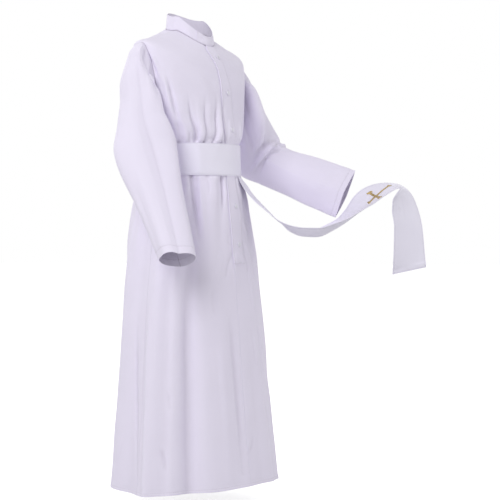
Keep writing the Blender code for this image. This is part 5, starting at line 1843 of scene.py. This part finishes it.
@dataclass(frozen=True)
class Studio:
    """A pale floor, soft light from the camera's left and the photograph's viewpoint."""

    bearing: float = 52.0
    distance: float = 4.5
    aside: float = 0.1665
    height: float = -0.647
    lens: float = 108.0
    sensor: float = 36.0
    floor_drop: float = 1.400
    floor_size: float = 60.0
    floor_glow: float = 0.80
    floor_white: float = 0.70
    floor_roughness: float = 0.9
    middle: float = -0.65
    lamp_distance: float = 3.5
    lamp_size: float = 1.8
    fill: float = 0.52
    lamps: tuple[Lamp, ...] = (
        Lamp("key", -27, 34, 52.0),
        Lamp("side", 92, 14, 24.0),
        Lamp("back", -138, 28, 26.0),
        Lamp("far", 158, 20, 13.0),
    )

    def level_way(self, aside: float) -> Array:
        """Level direction from the garment, so many degrees to the right of the way to the camera."""
        turn, right = math.radians(self.bearing), math.radians(aside)
        away = np.array([-math.sin(turn), -math.cos(turn), 0.0])
        rightwards = np.array([math.cos(turn), -math.sin(turn), 0.0])
        return away * math.cos(right) + rightwards * math.sin(right)

    def link(self, thing: bpy.types.Object) -> None:
        """Puts an object into the scene."""
        bpy.context.scene.collection.objects.link(thing)

    def camera(self) -> None:
        """Sets up the camera at the photograph's viewing angle."""
        data = bpy.data.cameras.new("viewpoint")
        data.lens, data.sensor_width = self.lens, self.sensor
        camera = bpy.data.objects.new("viewpoint", data)
        place = self.level_way(0) * self.distance + self.level_way(90) * self.aside
        camera.location = place + UP * self.height
        camera.rotation_euler = (math.radians(90), 0.0, -math.radians(self.bearing))
        self.link(camera)
        bpy.context.scene.camera = camera

    def floor(self) -> None:
        """A plain pale floor under the hem."""
        s, z = self.floor_size, -self.floor_drop
        mesh = bpy.data.meshes.new("floor")
        mesh.from_pydata([(-s, -s, z), (s, -s, z), (s, s, z), (-s, s, z)], [], [(0, 1, 2, 3)])
        material, graph, shader = new_material("floor_white")
        values = {
            "Base Color": (*[self.floor_white] * 3, 1.0),
            "Roughness": self.floor_roughness,
            "Emission Color": WHITE,
            "Emission Strength": graph.times(graph.seen(), self.floor_glow),
        }
        graph.fill(shader, values)
        mesh.materials.append(material)
        floor = bpy.data.objects.new("floor", mesh)
        self.link(floor)

    def lights(self) -> None:
        """A key light from the camera's left, a weaker one from its right and two behind."""
        middle = UP * self.middle
        for lamp in self.lamps:
            data = bpy.data.lights.new(lamp.name, "AREA")
            data.size, data.energy = self.lamp_size, lamp.power
            rise = math.radians(lamp.up)
            way = self.level_way(lamp.aside) * math.cos(rise) + UP * math.sin(rise)
            light = bpy.data.objects.new(lamp.name, data)
            light.location = middle + way * self.lamp_distance
            light.rotation_euler = Vector(-way).to_track_quat("-Z", "Y").to_euler()
            self.link(light)

    def surround(self) -> None:
        """An even white surround, which the camera sees at full strength."""
        world = bpy.data.worlds.new("surround")
        world.use_nodes = True
        bpy.context.scene.world = world
        graph = Graph(world.node_tree)
        strength = graph.math("MULTIPLY_ADD", graph.seen(), 1.0 - self.fill, self.fill)
        graph.fill(world.node_tree.nodes["Background"], {"Color": WHITE, "Strength": strength})

    def build(self) -> None:
        """Floor, lights and camera, shown without a film curve so that white stays white."""
        bpy.context.scene.view_settings.view_transform = "Standard"
        self.camera()
        self.floor()
        self.lights()
        self.surround()


SHEET_WHITE = ClothFinish(
    name="white_suiting",
    pale=(0.870, 0.825, 0.965),
    deep=(0.845, 0.797, 0.945),
    thread=(0.76, 0.70, 0.83),
    # The dark colour of the painted shade along seams and in hollows.
    crevice=(0.50, 0.45, 0.55),
    roughness=0.72,
    sheen=0.15,
    threads_per_metre=1900.0,
    weave_depth=0.05,
)
BELT_WHITE = ClothFinish(
    name="white_sash",
    pale=(0.900, 0.870, 0.992),
    deep=(0.878, 0.848, 0.978),
    thread=(0.76, 0.73, 0.86),
    # The dark colour of the painted shade along seams and in hollows.
    crevice=(0.50, 0.47, 0.57),
    roughness=0.55,
    sheen=0.20,
    threads_per_metre=1500.0,
    weave_depth=0.06,
)
GOLD_THREAD = ThreadFinish("gold_thread", (0.72, 0.54, 0.26), (0.46, 0.33, 0.14), 0.65, 0.38, 0.0009)
WHITE_THREAD = ThreadFinish("white_thread", (0.84, 0.82, 0.92), (0.70, 0.68, 0.78), 0.0, 0.6, 0.0008)


@dataclass
class Cassock:
    """The whole garment: builds each sub-assembly."""

    form: BodyForm = field(default_factory=BodyForm)

    def __post_init__(self) -> None:
        """Works out the shared rows, the placket and the finishes."""
        self.grid = BodyGrid(self.form)
        self.placket = Placket(self.form)
        effects = ClothEffects()
        self.cloth = SHEET_WHITE.material(effects)
        self.sash = BELT_WHITE.material(effects)
        self.gold = GOLD_THREAD.material()
        self.thread = WHITE_THREAD.material()
        self.button = ButtonFinish().material()

    def sheet(self, wall: ClothWall, node: str) -> None:
        finish = self.sash if node.startswith("belt") else self.cloth
        piece = add_piece(wall.mesh(), finish, [node])

    def body(self) -> None:
        """The two fronts, the back and the placket."""
        front = FrontPanel(self.grid)
        self.sheet(front.make(Side.RIGHT), "front_right")
        self.sheet(front.make(Side.LEFT), "front_left")
        self.sheet(BackPanel(self.grid).make(), "back")
        self.sheet(self.placket.make(), "placket")

    def neck(self) -> None:
        """The collar band."""
        self.sheet(Collar(self.form).make(), "collar")

    def sleeves(self) -> None:
        """Both sleeves."""
        right = Sleeve(self.grid, Side.RIGHT, RIGHT_CUTS, RIGHT_CREASES, Slack(11, 0.0008, 0.11))
        left = Sleeve(self.grid, Side.LEFT, LEFT_CUTS, LEFT_CREASES, Slack(12, 0.0008, 0.11))
        self.sheet(right.make(), "sleeve_right")
        self.sheet(left.make(), "sleeve_left")

    def waist(self) -> None:
        """The belt, its tail and the cross on it."""
        belt = Belt(self.form)
        tail = BeltTail(self.form, belt)
        self.sheet(belt.make(), "belt")
        self.sheet(tail.make(), "belt_tail")
        add_piece(CrossEmbroidery(tail).mesh(), self.gold, ["belt_cross"])

    def fastenings(self) -> None:
        """Buttons with their thread, buttonholes and the bar tack."""
        button, hole = Button(self.placket), Buttonhole(self.placket)
        for number, level in self.placket.button_levels().items():
            add_piece(button.mesh(number, level), self.button, [f"button_{number}"])
            add_piece(button.thread(number, level), self.thread, [])
            add_piece(hole.rim(number, level), self.thread, [])
        add_piece(hole.tack(), self.thread, [])

    def build(self) -> None:
        """Builds everything in order."""
        self.body()
        self.neck()
        self.sleeves()
        self.waist()
        self.fastenings()


def main() -> None:
    """Builds the studio and the garment."""
    logging.basicConfig(level=logging.INFO, format="%(message)s")
    Studio().build()
    Cassock().build()


if __name__ == "__main__":
    main()
